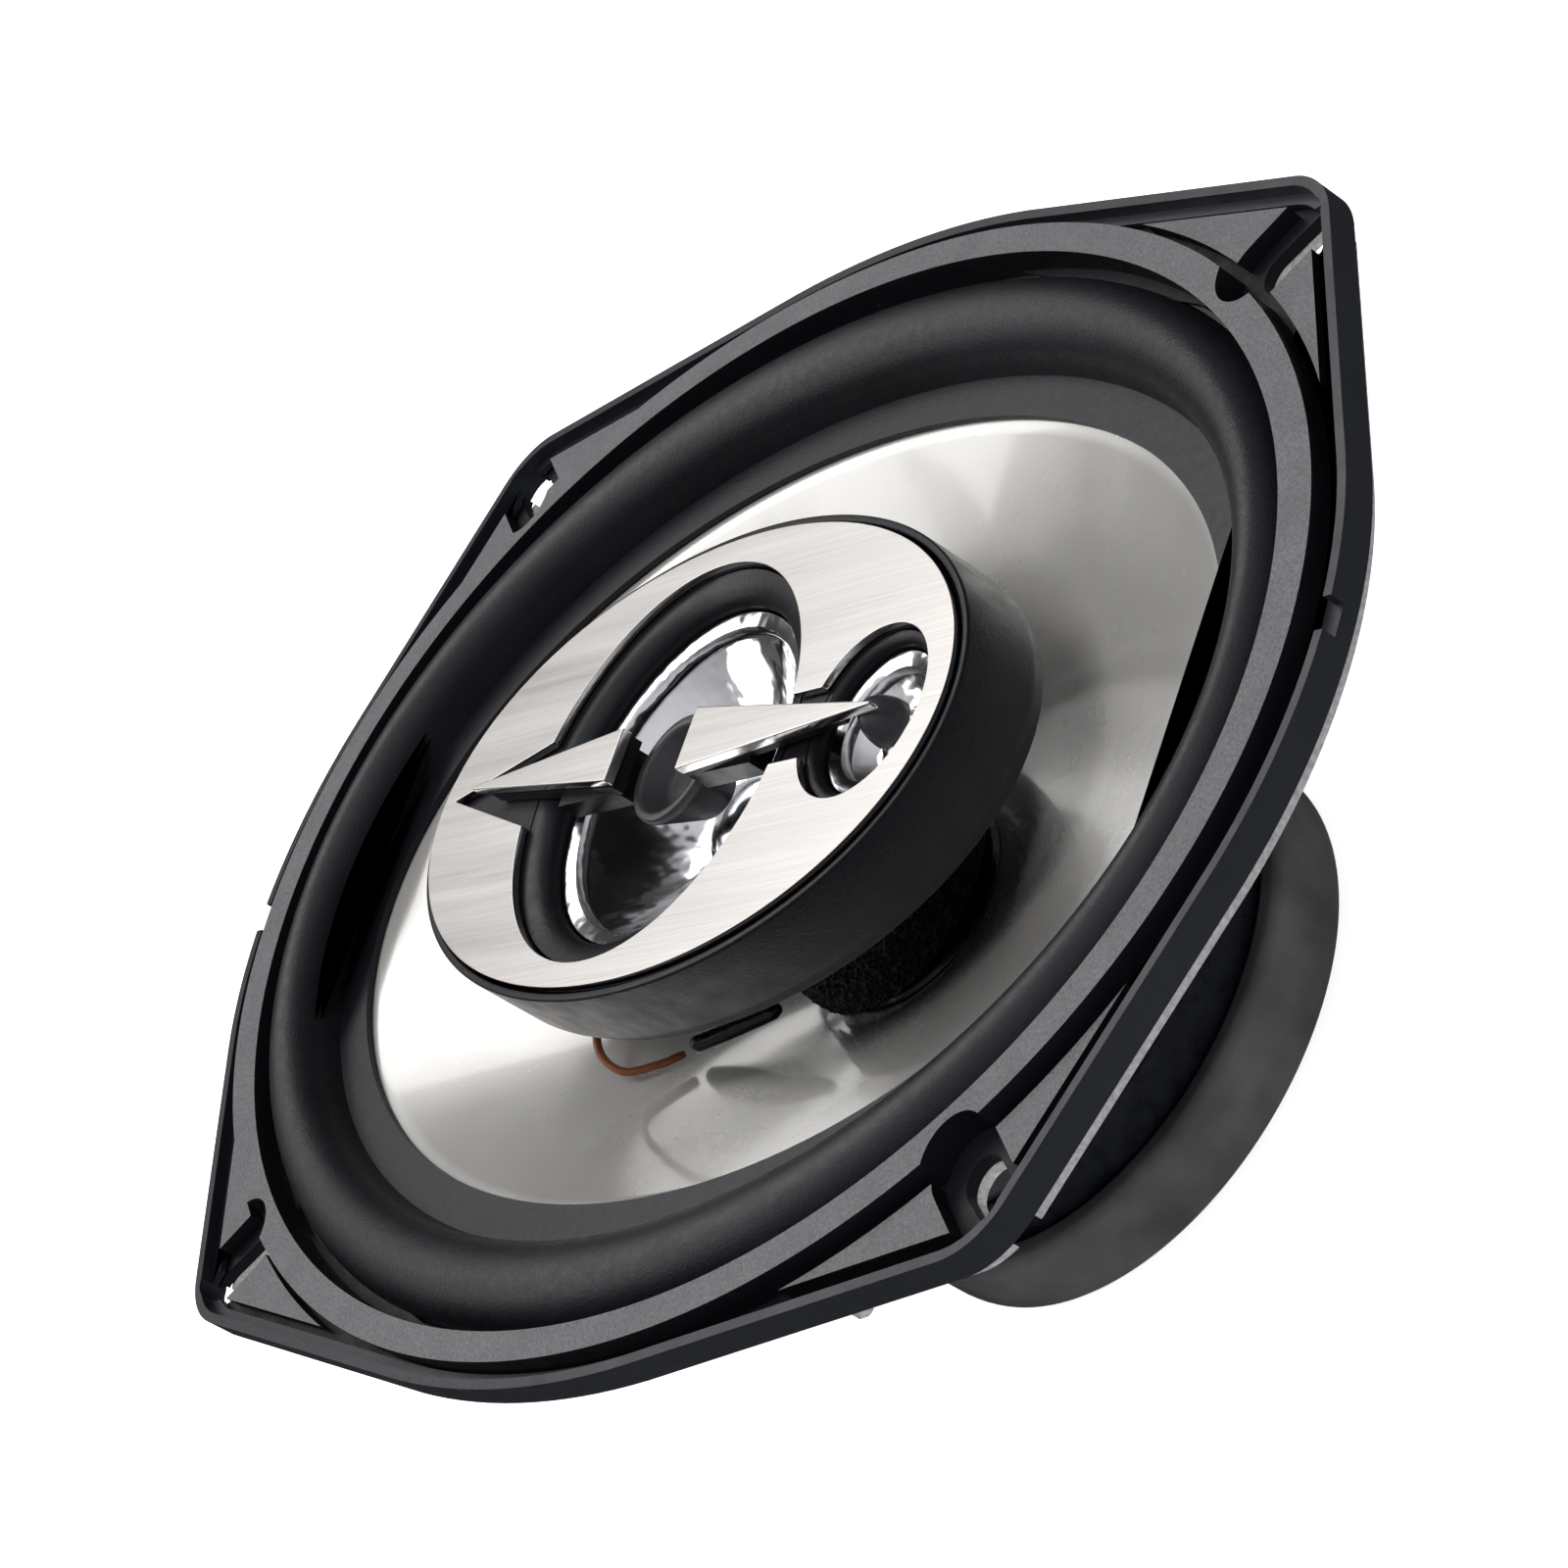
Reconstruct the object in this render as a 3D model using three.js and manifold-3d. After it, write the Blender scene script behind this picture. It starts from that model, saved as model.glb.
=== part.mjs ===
// Coaxial car speaker on the 6 x 9 inch pattern: an oval woofer with a tweeter pod on a centre post.
// Millimetres. +Z faces the listener and Z = 0 is the rear of the magnet. X is the oval's long axis.
import * as THREE from 'three';
import { mergeVertices } from 'three/addons/utils/BufferGeometryUtils.js';
import Module from 'manifold-3d';

const wasm = await Module();
wasm.setup();

// Driving dimensions
const GAP = 0.3;                                 // left between pieces that touch
const OVAL_STEPS = 44;                           // facets round an oval
const ROUND_STEPS = 26;                          // facets round a turned piece
const SMALL_STEPS = 14;                          // facets round a small turned piece
const RIM = { a: 119, b: 85.5 };                 // half axes of the basket rim
const EAR = { x: 82.5, y: 60, radius: 13 };      // rounded corners that carry the screws
const RIM_WALL = { thickness: 1.4, low: 70.4, high: 74.8 };
const FLANGE = { a: 104, b: 73, low: 68.3, high: 69.7 };
const PIN = { radius: 1.5, low: 66.5, high: 69 };
const GASKET = { base: FLANGE.high + GAP, skin: 71.5, pad: 74, front: 76 };
const GASKET_HOLE = { a: 108.9, b: 78.1 };
const GASKET_RING = { a: 114.5, b: 82.3 };
const SCREW_SLOT = { x: 84, y: 61, radius: 3.1, length: 7, turn: 0.66 };
const KEYHOLE = { x: 82.8, y: 60, radius: 5.6, length: 24, turn: 0.72 };
const CONE_NECK = { radius: 13.1, z: 37.5 };
const CONE_EDGE = { a: 92, b: 56.5, z: 67.4 };
const CONE_THICKNESS = 0.8;
const MAGNET = { radius: 38, hole: 20, low: 7.6, high: 20 };
const PLATE_RADIUS = 37;
const POLE_RADIUS = 12;
const COIL_INNER = 12.4;
const SPIDER = { inner: 13, outer: 38.3, z: 34.3, thickness: 0.6 };
const POD = { x: 2, a: 59.8, b: 34.9, low: 54.5, shoulder: 70.5, high: 82.6, wall: 1.2 };
const FACE = { a: 58.2, b: 33.3, low: 82.2, high: 83.4 };
const TWEETER = { x: -3, recess: 29.5, mouth: 24.2, throat: 7.7, mouthZ: 78.6, throatZ: 66.9 };
const SUPER = { x: 43.5, recess: 12.2, mouth: 9.6, throat: 4.7, mouthZ: 80.2, throatZ: 75.8 };
const BLADE = { low: 84.4, high: 86 };
const BRIDGE = { webLow: 79.4, low: 82.3, high: 84.1 };
const PLUG = { x: -2, radius: 8, low: 72, high: 81 };

// Finishes: colour, roughness, metalness
const SILVER_PAINT = [0x8f9092, 0.35, 0.6];
const BLACK_PLASTIC = [0x131416, 0.5, 0.0];
const GREY_FOAM = [0x66676b, 0.85, 0.0];
const RUBBER = [0x17181c, 0.6, 0.0];
const PEARL = [0xb9bcbf, 0.25, 0.5];
const BRUSHED = [0xbdb8b3, 0.35, 0.9];
const CHROME = [0xe6e8ec, 0.08, 1.0];
const ZINC = [0xa9adb3, 0.4, 0.9];
const FERRITE = [0x26272b, 0.5, 0.1];
const COPPER = [0x8a4b2a, 0.4, 0.9];
const KAPTON = [0x8c5a1c, 0.4, 0.0];
const PHENOLIC = [0x6b3a1c, 0.6, 0.0];
const BRASS = [0xb99a4a, 0.35, 0.9];

const speaker = new THREE.Group();

// Adds one sub-part, turning its faces outwards first.
function addPart(name, geometry, [color, roughness, metalness], place = {}) {
  const closed = faceOut(weld(geometry));
  closed.computeVertexNormals();
  const mesh = new THREE.Mesh(closed, new THREE.MeshStandardMaterial({ color, roughness, metalness }));
  mesh.name = name;
  mesh.position.set(place.x ?? 0, place.y ?? 0, place.z ?? 0);
  mesh.rotation.set(place.turnX ?? 0, place.turnY ?? 0, place.turnZ ?? 0);
  speaker.add(mesh);
}

function weld(geometry) {
  const bare = geometry.clone();
  bare.deleteAttribute('normal');
  bare.deleteAttribute('uv');
  return mergeVertices(bare, 1e-4);
}

function signedVolume(geometry) {
  const position = geometry.getAttribute('position');
  const index = geometry.getIndex();
  const corner = [new THREE.Vector3(), new THREE.Vector3(), new THREE.Vector3()];
  let volume = 0;
  for (let i = 0; i < index.count; i += 3) {
    corner.forEach((point, k) => point.fromBufferAttribute(position, index.getX(i + k)));
    volume += corner[0].dot(corner[1].cross(corner[2])) / 6;
  }
  return volume;
}

function faceOut(geometry) {
  if (signedVolume(geometry) < 0) {
    const index = geometry.getIndex();
    for (let i = 0; i < index.count; i += 3) {
      const first = index.getX(i);
      index.setX(i, index.getX(i + 1));
      index.setX(i + 1, first);
    }
  }
  return geometry;
}

// Boolean work on closed geometries
function toSolid(geometry) {
  const closed = faceOut(weld(geometry));
  const vertProperties = new Float32Array(closed.getAttribute('position').array);
  const triVerts = new Uint32Array(closed.getIndex().array);
  return new wasm.Manifold(new wasm.Mesh({ numProp: 3, vertProperties, triVerts }));
}

function toGeometry(solid) {
  const mesh = solid.simplify(0.05).getMesh();
  const geometry = new THREE.BufferGeometry();
  geometry.setAttribute('position', new THREE.BufferAttribute(mesh.vertProperties, 3));
  geometry.setIndex(new THREE.BufferAttribute(mesh.triVerts, 1));
  return geometry;
}

function joined(geometries) {
  const solids = geometries.map(toSolid);
  return toGeometry(solids.reduce((sum, solid) => sum.add(solid)));
}

function cut(geometry, tools) {
  const solids = tools.map(toSolid);
  return toGeometry(solids.reduce((rest, tool) => rest.subtract(tool), toSolid(geometry)));
}

// A turned piece: the profile is a list of [radius, height] pairs.
function turned(profile, steps = ROUND_STEPS) {
  const points = profile.map(([radius, height]) => new THREE.Vector2(radius, height));
  const onAxis = profile[0][0] === 0 && profile.at(-1)[0] === 0;
  if (!onAxis) {
    points.push(points[0].clone());
  }
  return new THREE.LatheGeometry(points, steps).rotateX(Math.PI / 2);
}

function rod(radius, low, high, steps = SMALL_STEPS) {
  return turned([[0, low], [radius, low], [radius, high], [0, high]], steps);
}

function tube(inner, outer, low, high, steps = ROUND_STEPS) {
  return turned([[inner, low], [outer, low], [outer, high], [inner, high]], steps);
}

function slab(width, depth, low, high, x = 0, y = 0) {
  return new THREE.BoxGeometry(width, depth, high - low).translate(x, y, (low + high) / 2);
}

function extruded(shape, low, high, curveSegments = 12) {
  const options = { depth: high - low, bevelEnabled: false, curveSegments };
  return new THREE.ExtrudeGeometry(shape, options).translate(0, 0, low);
}

// A ring whose closed section changes from round to oval: rows are [a, b, z, x offset].
function ovalRing(rows, steps = OVAL_STEPS) {
  const squash = RIM.b / RIM.a;
  const positions = [];
  for (const [a, b, z, x = 0] of rows) {
    for (let i = 0; i < steps; i += 1) {
      const t = (i / steps) * Math.PI * 2;
      const angle = Math.atan2(squash * Math.sin(t), Math.cos(t));
      const reach = 1 / Math.hypot(Math.cos(angle) / a, Math.sin(angle) / b);
      positions.push(x + reach * Math.cos(angle), reach * Math.sin(angle), z);
    }
  }
  const index = [];
  rows.forEach((row, j) => {
    const next = ((j + 1) % rows.length) * steps;
    for (let i = 0; i < steps; i += 1) {
      const k = (i + 1) % steps;
      const here = j * steps;
      index.push(here + i, here + k, next + k, here + i, next + k, next + i);
    }
  });
  const geometry = new THREE.BufferGeometry();
  geometry.setAttribute('position', new THREE.Float32BufferAttribute(positions, 3));
  geometry.setIndex(index);
  return geometry;
}

function ellipsePoints(a, b, x = 0, steps = OVAL_STEPS) {
  const curve = new THREE.EllipseCurve(x, 0, a, b, 0, Math.PI * 2);
  return curve.getPoints(steps).slice(0, steps);
}

// The rim outline: a taut band round the oval and the four ears, drawn in by inset.
function rimPoints(inset, steps = 64) {
  const a = RIM.a - inset;
  const b = RIM.b - inset;
  const radius = EAR.radius - inset;
  const points = [];
  for (let i = 0; i < steps; i += 1) {
    const turn = (i / steps) * Math.PI * 2;
    const c = Math.cos(turn);
    const s = Math.sin(turn);
    const ovalSupport = Math.hypot(a * c, b * s);
    const earX = Math.sign(c || 1) * EAR.x;
    const earY = Math.sign(s || 1) * EAR.y;
    if (earX * c + earY * s + radius > ovalSupport) {
      points.push(new THREE.Vector2(earX + radius * c, earY + radius * s));
    } else {
      points.push(new THREE.Vector2((a * a * c) / ovalSupport, (b * b * s) / ovalSupport));
    }
  }
  return points;
}

function shapeWithHole(outline, hole) {
  const shape = new THREE.Shape(outline);
  if (hole) {
    shape.holes.push(new THREE.Path(hole));
  }
  return shape;
}

// A slot with round ends that starts at its place and runs outwards.
function slotTool({ x, y, radius, length, turn }, low, high) {
  const shape = new THREE.Shape();
  shape.absarc(0, 0, radius, Math.PI / 2, Math.PI * 1.5, false);
  shape.absarc(length, 0, radius, -Math.PI / 2, Math.PI / 2, false);
  return extruded(shape, low, high, 8).rotateZ(turn).translate(x, y, 0);
}

function fourCorners(tool) {
  const corners = [];
  for (const sx of [1, -1]) {
    for (const sy of [1, -1]) {
      corners.push(tool.clone().scale(sx, sy, 1));
    }
  }
  return corners;
}

// Basket: pressed steel, a deep oval shell with windows and a flat flange
function basket() {
  const flange = shapeWithHole(
    rimPoints(RIM_WALL.thickness + GAP), ellipsePoints(FLANGE.a, FLANGE.b));
  const shell = ovalRing([
    [14.6, 14.6, 25.6], [33.5, 33.5, 25.6], [34.5, 34.5, 31.5], [40.5, 40.5, 32.5],
    [98.6, 67.4, 57.6], [103.4, 72.4, 67.6], [105.6, 74.6, 68.9],
    [103.2, 72.2, 69.5], [102.2, 71.2, 68.2], [97.6, 66.4, 58.6], [39.6, 39.6, 33.7], [33.3, 33.3, 32.7],
    [32.3, 32.3, 26.8], [14.6, 14.6, 26.8],
  ]);
  const windowed = cut(shell, basketWindows());
  const bracket = slab(30, 12, 31.6, 32.9, 0, 42.5);
  const whole = joined([
    windowed,
    extruded(flange, FLANGE.low, FLANGE.high),
    bracket,
    ...FLANGE_PINS.map(([x, y]) => rod(PIN.radius, PIN.low, PIN.high, 10).translate(x, y, 0)),
  ]);
  const slots = fourCorners(slotTool(SCREW_SLOT, 60, 75));
  const rivetHoles = BASKET_RIVETS.map(([x, y]) => rod(2.1, 24, 28, 12).translate(x, y, 0));
  const bracketHoles = [-1, 1].map((side) => rod(1.8, 30, 34, 12).translate(side * 10.5, 45, 0));
  return cut(whole, [...slots, ...rivetHoles, ...bracketHoles]);
}

// Six windows between the spokes, each a wedge from a round inner edge to an oval outer edge
function basketWindows() {
  const halfWidth = 0.36;
  const inner = 44;
  const outer = { a: 91, b: 61 };
  const steps = 6;
  const tools = [];
  for (let k = 0; k < 6; k += 1) {
    const middle = Math.PI / 6 + (k * Math.PI) / 3;
    const points = [];
    for (let i = 0; i <= steps; i += 1) {
      const angle = middle + halfWidth * ((2 * i) / steps - 1);
      points.push(new THREE.Vector2(inner * Math.cos(angle), inner * Math.sin(angle)));
    }
    for (let i = steps; i >= 0; i -= 1) {
      const angle = middle + halfWidth * ((2 * i) / steps - 1);
      const reach = 1 / Math.hypot(Math.cos(angle) / outer.a, Math.sin(angle) / outer.b);
      points.push(new THREE.Vector2(reach * Math.cos(angle), reach * Math.sin(angle)));
    }
    tools.push(extruded(new THREE.Shape(points), 20, 80));
  }
  return tools;
}

const BASKET_RIVETS = [0, 1, 2, 3].map((k) => {
  const angle = Math.PI / 4 + (k * Math.PI) / 2;
  return [25 * Math.cos(angle), 25 * Math.sin(angle)];
});

// The pins and notches are the same on both sides when the part is turned half way round.
const bothWays = (places) => places.flatMap(([x, y]) => [[x, y], [-x, -y]]);
const FLANGE_PINS = bothWays([[62, -73.8], [84, 69.5]]);
const RIM_NOTCHES = bothWays([[120, 5]]);

// Rim ring: the black moulding that frames the gasket and clamps its edge to the flange with a lip
function rimRing() {
  const { thickness, low, high } = RIM_WALL;
  const wall = shapeWithHole(rimPoints(0), rimPoints(thickness));
  const lip = shapeWithHole(rimPoints(thickness / 2), rimPoints(2.9));
  const lipLow = GASKET.skin + GAP;
  const lipHigh = lipLow + 1;
  const ring = joined([extruded(wall, low, high), extruded(lip, lipLow, lipHigh)]);
  const notches = RIM_NOTCHES.map(([x, y]) => slab(12, 4.5, lipHigh, high + 1, x, y));
  return cut(ring, [...notches, ...fourCorners(slotTool(SCREW_SLOT, 60, 75))]);
}

// Front gasket: one moulded sheet, a thin base with a raised oval band and four raised ear pads. The
// base floors each keyhole, and the screw passes through a smaller slot in it.
function frontGasket() {
  const base = shapeWithHole(
    rimPoints(RIM_WALL.thickness + GAP), ellipsePoints(GASKET_HOLE.a, GASKET_HOLE.b));
  const ring = shapeWithHole(
    ellipsePoints(GASKET_RING.a, GASKET_RING.b), ellipsePoints(GASKET_HOLE.a, GASKET_HOLE.b));
  const pads = shapeWithHole(rimPoints(4));
  const clearRing = new THREE.Shape(ellipsePoints(GASKET_RING.a + 1.6, GASKET_RING.b + 1.6));
  const padSolid = cut(extruded(pads, GASKET.base, GASKET.pad), [extruded(clearRing, 60, 80)]);
  const whole = joined([
    extruded(base, GASKET.base, GASKET.skin), extruded(ring, GASKET.base, GASKET.front), padSolid]);
  const keyholes = fourCorners(slotTool(KEYHOLE, GASKET.skin, 80));
  return cut(whole, [...keyholes, ...fourCorners(slotTool(SCREW_SLOT, 65, 80))]);
}

// Surround: a half roll of rubber from the cone's edge to the flange
function surround() {
  const thickness = 0.9;
  const middle = { a: 103.9, b: 70, z: 69.9 };
  const section = (offset) => {
    const rows = [[108.5, 77.6, 70.5 + offset], [107.9, 76.1, 70.5 + offset]];
    for (let i = 1; i < 5; i += 1) {
      const turn = (i / 5) * Math.PI;
      const across = Math.cos(turn);
      rows.push([
        middle.a + (4.1 + offset) * across,
        middle.b + (6.1 + offset) * across,
        middle.z + (6.3 + offset) * Math.sin(turn),
      ]);
    }
    rows.push([99.3, 63.4, 68.35 + offset], [92.6, 57.1, 68.35 + offset]);
    return rows;
  };
  return ovalRing([...section(thickness / 2), ...section(-thickness / 2).reverse()]);
}

// Spider: a pleated cloth disc that centres the voice coil
function spider() {
  const pleats = 3;
  const height = 0.9;
  const section = (offset) => {
    const rows = [[SPIDER.inner, SPIDER.z + offset]];
    for (let i = 0; i <= pleats * 2; i += 1) {
      const swing = i % 2 ? height : -height;
      rows.push([16 + (i / (pleats * 2)) * 17, SPIDER.z + (i % (pleats * 2) ? swing : 0) + offset]);
    }
    rows.push([SPIDER.outer, SPIDER.z + offset]);
    return rows;
  };
  const half = SPIDER.thickness / 2;
  return turned([...section(-half), ...section(half).reverse()]);
}

// Cone: a thin flared oval shell with a flat edge under the surround
function cone() {
  const section = (drop) => [0, 0.15, 0.45, 0.75, 1].map((t) => [
    CONE_NECK.radius + (CONE_EDGE.a - CONE_NECK.radius) * t,
    CONE_NECK.radius + (CONE_EDGE.b - CONE_NECK.radius) * t,
    CONE_NECK.z + (CONE_EDGE.z - CONE_NECK.z) * Math.pow(t, 0.85) - drop,
  ]);
  const edge = [CONE_EDGE.a + 4, CONE_EDGE.b + 4];
  return ovalRing([
    ...section(0), [...edge, CONE_EDGE.z + 0.1], [...edge, CONE_EDGE.z - 0.7],
    ...section(CONE_THICKNESS).reverse(),
  ]);
}

// Yoke: back plate and pole in one piece, with a counterbore for the long bolt
function yoke() {
  return turned([
    [7, 2.3], [PLATE_RADIUS, 2.3], [PLATE_RADIUS, 7.3], [POLE_RADIUS, 7.3], [POLE_RADIUS, 28],
    [2.4, 28], [2.4, 8.3], [7, 8.3],
  ]);
}

function topPlate() {
  const ring = tube(13.8, PLATE_RADIUS, MAGNET.high + GAP, 25.3);
  return cut(ring, BASKET_RIVETS.map(([x, y]) => rod(2.1, 20, 26, 12).translate(x, y, 0)));
}

// Boot: a moulded rubber cup over the magnet, with a hole for the bolt head
function magnetBoot() {
  return turned([
    [9, 0], [39.5, 0], [41.3, 0.8], [42, 2.6], [42, 12.2], [41.2, 13], [38.4, 13], [38.4, 2], [9, 2],
  ], 40);
}

// Pod shell: the black housing that bridges the cone, round at the post and oval at the face
function podShell() {
  const row = (shrink, z) => [POD.a - shrink, POD.b - shrink, z, POD.x];
  return ovalRing([
    [2.6, 2.6, POD.low], [13, 13, POD.low], [15, 14.5, POD.low + 2, 0.3],
    row(4, POD.shoulder - 2.6), row(0.8, POD.shoulder - 1.2), row(0, POD.shoulder + 1), row(0, POD.high),
    row(POD.wall, POD.high), row(POD.wall, POD.shoulder + 1), row(6, POD.shoulder),
    [13.4, 13, POD.low + 3.6, 0.3], [11.5, 11.5, POD.low + 1.8], [2.6, 2.6, POD.low + 1.8],
  ], 40);
}

function roundHole(x, radius) {
  return ellipsePoints(radius, radius, x, 40);
}

// Deck: the inner panel of the pod that holds both tweeters
function podDeck() {
  const shape = new THREE.Shape(ellipsePoints(FACE.a - 0.1, FACE.b - 0.1, POD.x, 48));
  shape.holes.push(new THREE.Path(roundHole(TWEETER.x, TWEETER.recess + 0.1)));
  shape.holes.push(new THREE.Path(roundHole(SUPER.x, SUPER.recess + 0.1)));
  return extruded(shape, 80.4, 81.9);
}

// Face plate: brushed metal with two round openings, a wedge for the left blade and a neck between
function facePlate() {
  const plate = extruded(new THREE.Shape(ellipsePoints(FACE.a, FACE.b, POD.x, 64)), FACE.low, FACE.high);
  const wedge = new THREE.Shape([
    new THREE.Vector2(-53.5, 1), new THREE.Vector2(-28, -7), new THREE.Vector2(-28, 8),
  ]);
  return cut(plate, [
    rod(TWEETER.recess, 80, 85, 48).translate(TWEETER.x, 0, 0),
    rod(SUPER.recess, 80, 85, 32).translate(SUPER.x, 0, 0),
    extruded(wedge, 80, 85),
    slab(12, 10, 80, 85, 29, 0),
  ]);
}

function collar(recess, mouth, mouthZ) {
  return turned([
    [mouth + 0.9, mouthZ + 0.4], [recess - 0.9, FACE.low - 0.2], [recess - 0.3, FACE.low - 0.2],
    [recess - 0.3, mouthZ - 1.5], [mouth + 0.9, mouthZ - 1.5],
  ]);
}

function horn({ mouth, throat, mouthZ, throatZ }) {
  const bulge = (t) => [throat + (mouth - throat) * Math.pow(t, 0.75), throatZ + (mouthZ - throatZ) * t];
  const inner = [0, 0.25, 0.6, 1].map(bulge);
  const outer = inner.map(([radius, z]) => [radius + 0.5, z - 0.6]).reverse();
  return turned([...inner, ...outer]);
}

function dome(radius, rise, z) {
  const arc = (shrink) => [0, 0.3, 0.6, 0.85, 1].map((t) => [
    (radius - shrink) * Math.sin((t * Math.PI) / 2), z + (rise - shrink) * Math.cos((t * Math.PI) / 2)]);
  return turned([...arc(0), ...arc(0.5).reverse()], SMALL_STEPS);
}

function steelCup(radius, well, low, high) {
  return turned([
    [0, low], [radius, low], [radius, high], [well, high], [well, low + 1.4], [0, low + 1.4],
  ], 28);
}

function bullet(radius, low, high, steps = SMALL_STEPS) {
  const tip = (t) => [radius * Math.cos((t * Math.PI) / 2), low + (high - low) * Math.sin((t * Math.PI) / 2)];
  return turned([[0, low], ...[0, 0.3, 0.55, 0.8].map(tip), [0, high]], steps);
}

// A spear blade: wide at the root, with its point at the far end
function blade(rootX, tipX, lowY, highY, tipY) {
  const shape = new THREE.Shape([
    new THREE.Vector2(rootX, lowY), new THREE.Vector2(tipX, tipY - 0.25),
    new THREE.Vector2(tipX, tipY + 0.25), new THREE.Vector2(rootX, highY),
  ]);
  return extruded(shape, BLADE.low, BLADE.high);
}

// Half of the bridge: a black spear under the blade and a web that reaches the phase plug
function bridge(rootX, tipX, webFrom, webTo) {
  const spear = new THREE.Shape([
    new THREE.Vector2(rootX, -3.4), new THREE.Vector2(tipX, -1), new THREE.Vector2(tipX, 1),
    new THREE.Vector2(rootX, 3.4),
  ]);
  const { low, high } = BRIDGE;
  const web = slab(webTo - webFrom, 7, BRIDGE.webLow, low + 0.4, (webFrom + webTo) / 2, 0);
  return joined([extruded(spear, low, high), web]);
}

// A wire or sleeve of round section along a smooth route
function wire(points, radius, steps = 12) {
  const route = new THREE.CatmullRomCurve3(points.map(([x, y, z]) => new THREE.Vector3(x, y, z)));
  const section = new THREE.Shape();
  section.absarc(0, 0, radius, 0, Math.PI * 2, false);
  return new THREE.ExtrudeGeometry(section, { steps, extrudePath: route, curveSegments: 3 });
}

// A spade terminal with a tapered tip
function spade(width) {
  const half = width / 2;
  const shape = new THREE.Shape([
    new THREE.Vector2(-half, 47), new THREE.Vector2(half, 47), new THREE.Vector2(half, 64),
    new THREE.Vector2(half * 0.5, 66), new THREE.Vector2(-half * 0.5, 66), new THREE.Vector2(-half, 64),
  ]);
  return extruded(shape, 28.6, 29.4);
}

function terminalBoard() {
  const board = slab(30, 15, 29.8, 31.3, 0, 50);
  return cut(board, [-1, 1].map((side) => rod(1.8, 29, 32, 12).translate(side * 10.5, 45, 0)));
}

function terminalRivet() {
  return turned([[0, 28.2], [2.8, 28.2], [2.8, 29.5], [1.5, 29.5], [1.5, 33.2], [2.8, 33.2], [2.8, 34.2],
    [0, 34.2]], 12);
}

// Frame
addPart('basket', basket(), SILVER_PAINT);
addPart('rim_ring', rimRing(), BLACK_PLASTIC);
addPart('front_gasket', frontGasket(), GREY_FOAM);
addPart('surround', surround(), RUBBER);
addPart('spider', spider(), KAPTON);

// Motor
addPart('magnet_boot', magnetBoot(), RUBBER);
addPart('yoke', yoke(), ZINC);
addPart('ferrite_magnet', tube(MAGNET.hole, MAGNET.radius, MAGNET.low, MAGNET.high, 40), FERRITE);
addPart('top_plate', topPlate(), ZINC);
BASKET_RIVETS.forEach(([x, y], k) => {
  const rivet = turned([[0, 20.7], [1.8, 20.7], [1.8, 27.1], [3.2, 27.1], [2.4, 28.4], [0, 28.4]], 12);
  addPart(`basket_rivet_${k + 1}`, rivet, ZINC, { x, y });
});

// Moving cone assembly
addPart('cone', cone(), PEARL);
addPart('voice_coil_former', tube(COIL_INNER, COIL_INNER + 0.3, 17.5, 40.5), KAPTON);
addPart('voice_coil_winding', tube(COIL_INNER + 0.6, COIL_INNER + 1, 17.5, 28.5), COPPER);
addPart('dust_foam_ring', turned([[9, 42.2], [12.9, 42.2], [18.2, 43.6], [17.8, 49], [9, 49]]), RUBBER);

// Post, bolt, washer and nut that hold the pod to the pole
addPart('tweeter_post', turned([
  [2.4, 28.3], [10.5, 28.3], [10.5, 30.5], [7, 32.5], [7, 54.2], [2.4, 54.2],
], 24), BLACK_PLASTIC);
addPart('post_bolt', turned([
  [0, 3.7], [4, 3.7], [4, 6.7], [2, 6.7], [2, 59.9], [0, 59.9],
], 16), ZINC);
addPart('post_washer', tube(2.4, 5.6, 7, 8, 20), ZINC);
addPart('post_nut', tube(2.4, 4, 56.6, 59.6, 6), ZINC);

// Tweeter pod
addPart('pod_shell', podShell(), BLACK_PLASTIC);
addPart('pod_deck', podDeck(), BLACK_PLASTIC);
addPart('face_plate', facePlate(), BRUSHED);
const coaxialUnits = [
  { name: 'tweeter', size: TWEETER, cup: [13, 7.2, 60.3, 66], slug: 5.6, coil: 6.1, dome: [7, 3] },
  { name: 'supertweeter', size: SUPER, cup: [7.2, 4.4, 70.4, 75], slug: 2.9, coil: 3.3, dome: [4.2, 2] },
];
for (const { name, size, cup, slug, coil, dome: [domeRadius, domeRise] } of coaxialUnits) {
  const [cupRadius, well, low, high] = cup;
  const place = { x: size.x };
  addPart(`${name}_collar`, collar(size.recess, size.mouth, size.mouthZ), BLACK_PLASTIC, place);
  addPart(`${name}_horn`, horn(size), CHROME, place);
  addPart(`${name}_cup`, steelCup(cupRadius, well, low, high), ZINC, place);
  addPart(`${name}_magnet`, rod(slug, low + 1.7, high), FERRITE, place);
  addPart(`${name}_coil`, tube(coil, coil + 0.5, low + 2.4, size.throatZ - 0.3, 20), COPPER, place);
  addPart(`${name}_dome`, dome(domeRadius, domeRise, size.throatZ + 0.05), CHROME, place);
}
addPart('phase_plug', turned([
  [0, PLUG.low], [3.4, PLUG.low + 0.6], [5.6, PLUG.low + 4], [PLUG.radius, PLUG.high - 1.2],
  [PLUG.radius, PLUG.high], [PLUG.radius - 1.4, PLUG.high], [4.6, PLUG.low + 5.5], [0, PLUG.low + 4],
], 20), BLACK_PLASTIC, { x: PLUG.x });
addPart('supertweeter_plug', bullet(3.4, 79, 84.1), BLACK_PLASTIC, { x: SUPER.x + 1 });
addPart('bridge_left', bridge(-9.5, -42, -25, -10.6), BLACK_PLASTIC);
addPart('bridge_right', bridge(8, 40, 6.4, 20), BLACK_PLASTIC);
addPart('blade_left', blade(-9, -45, -3.6, 4.4, 0.5), BRUSHED);
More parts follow.
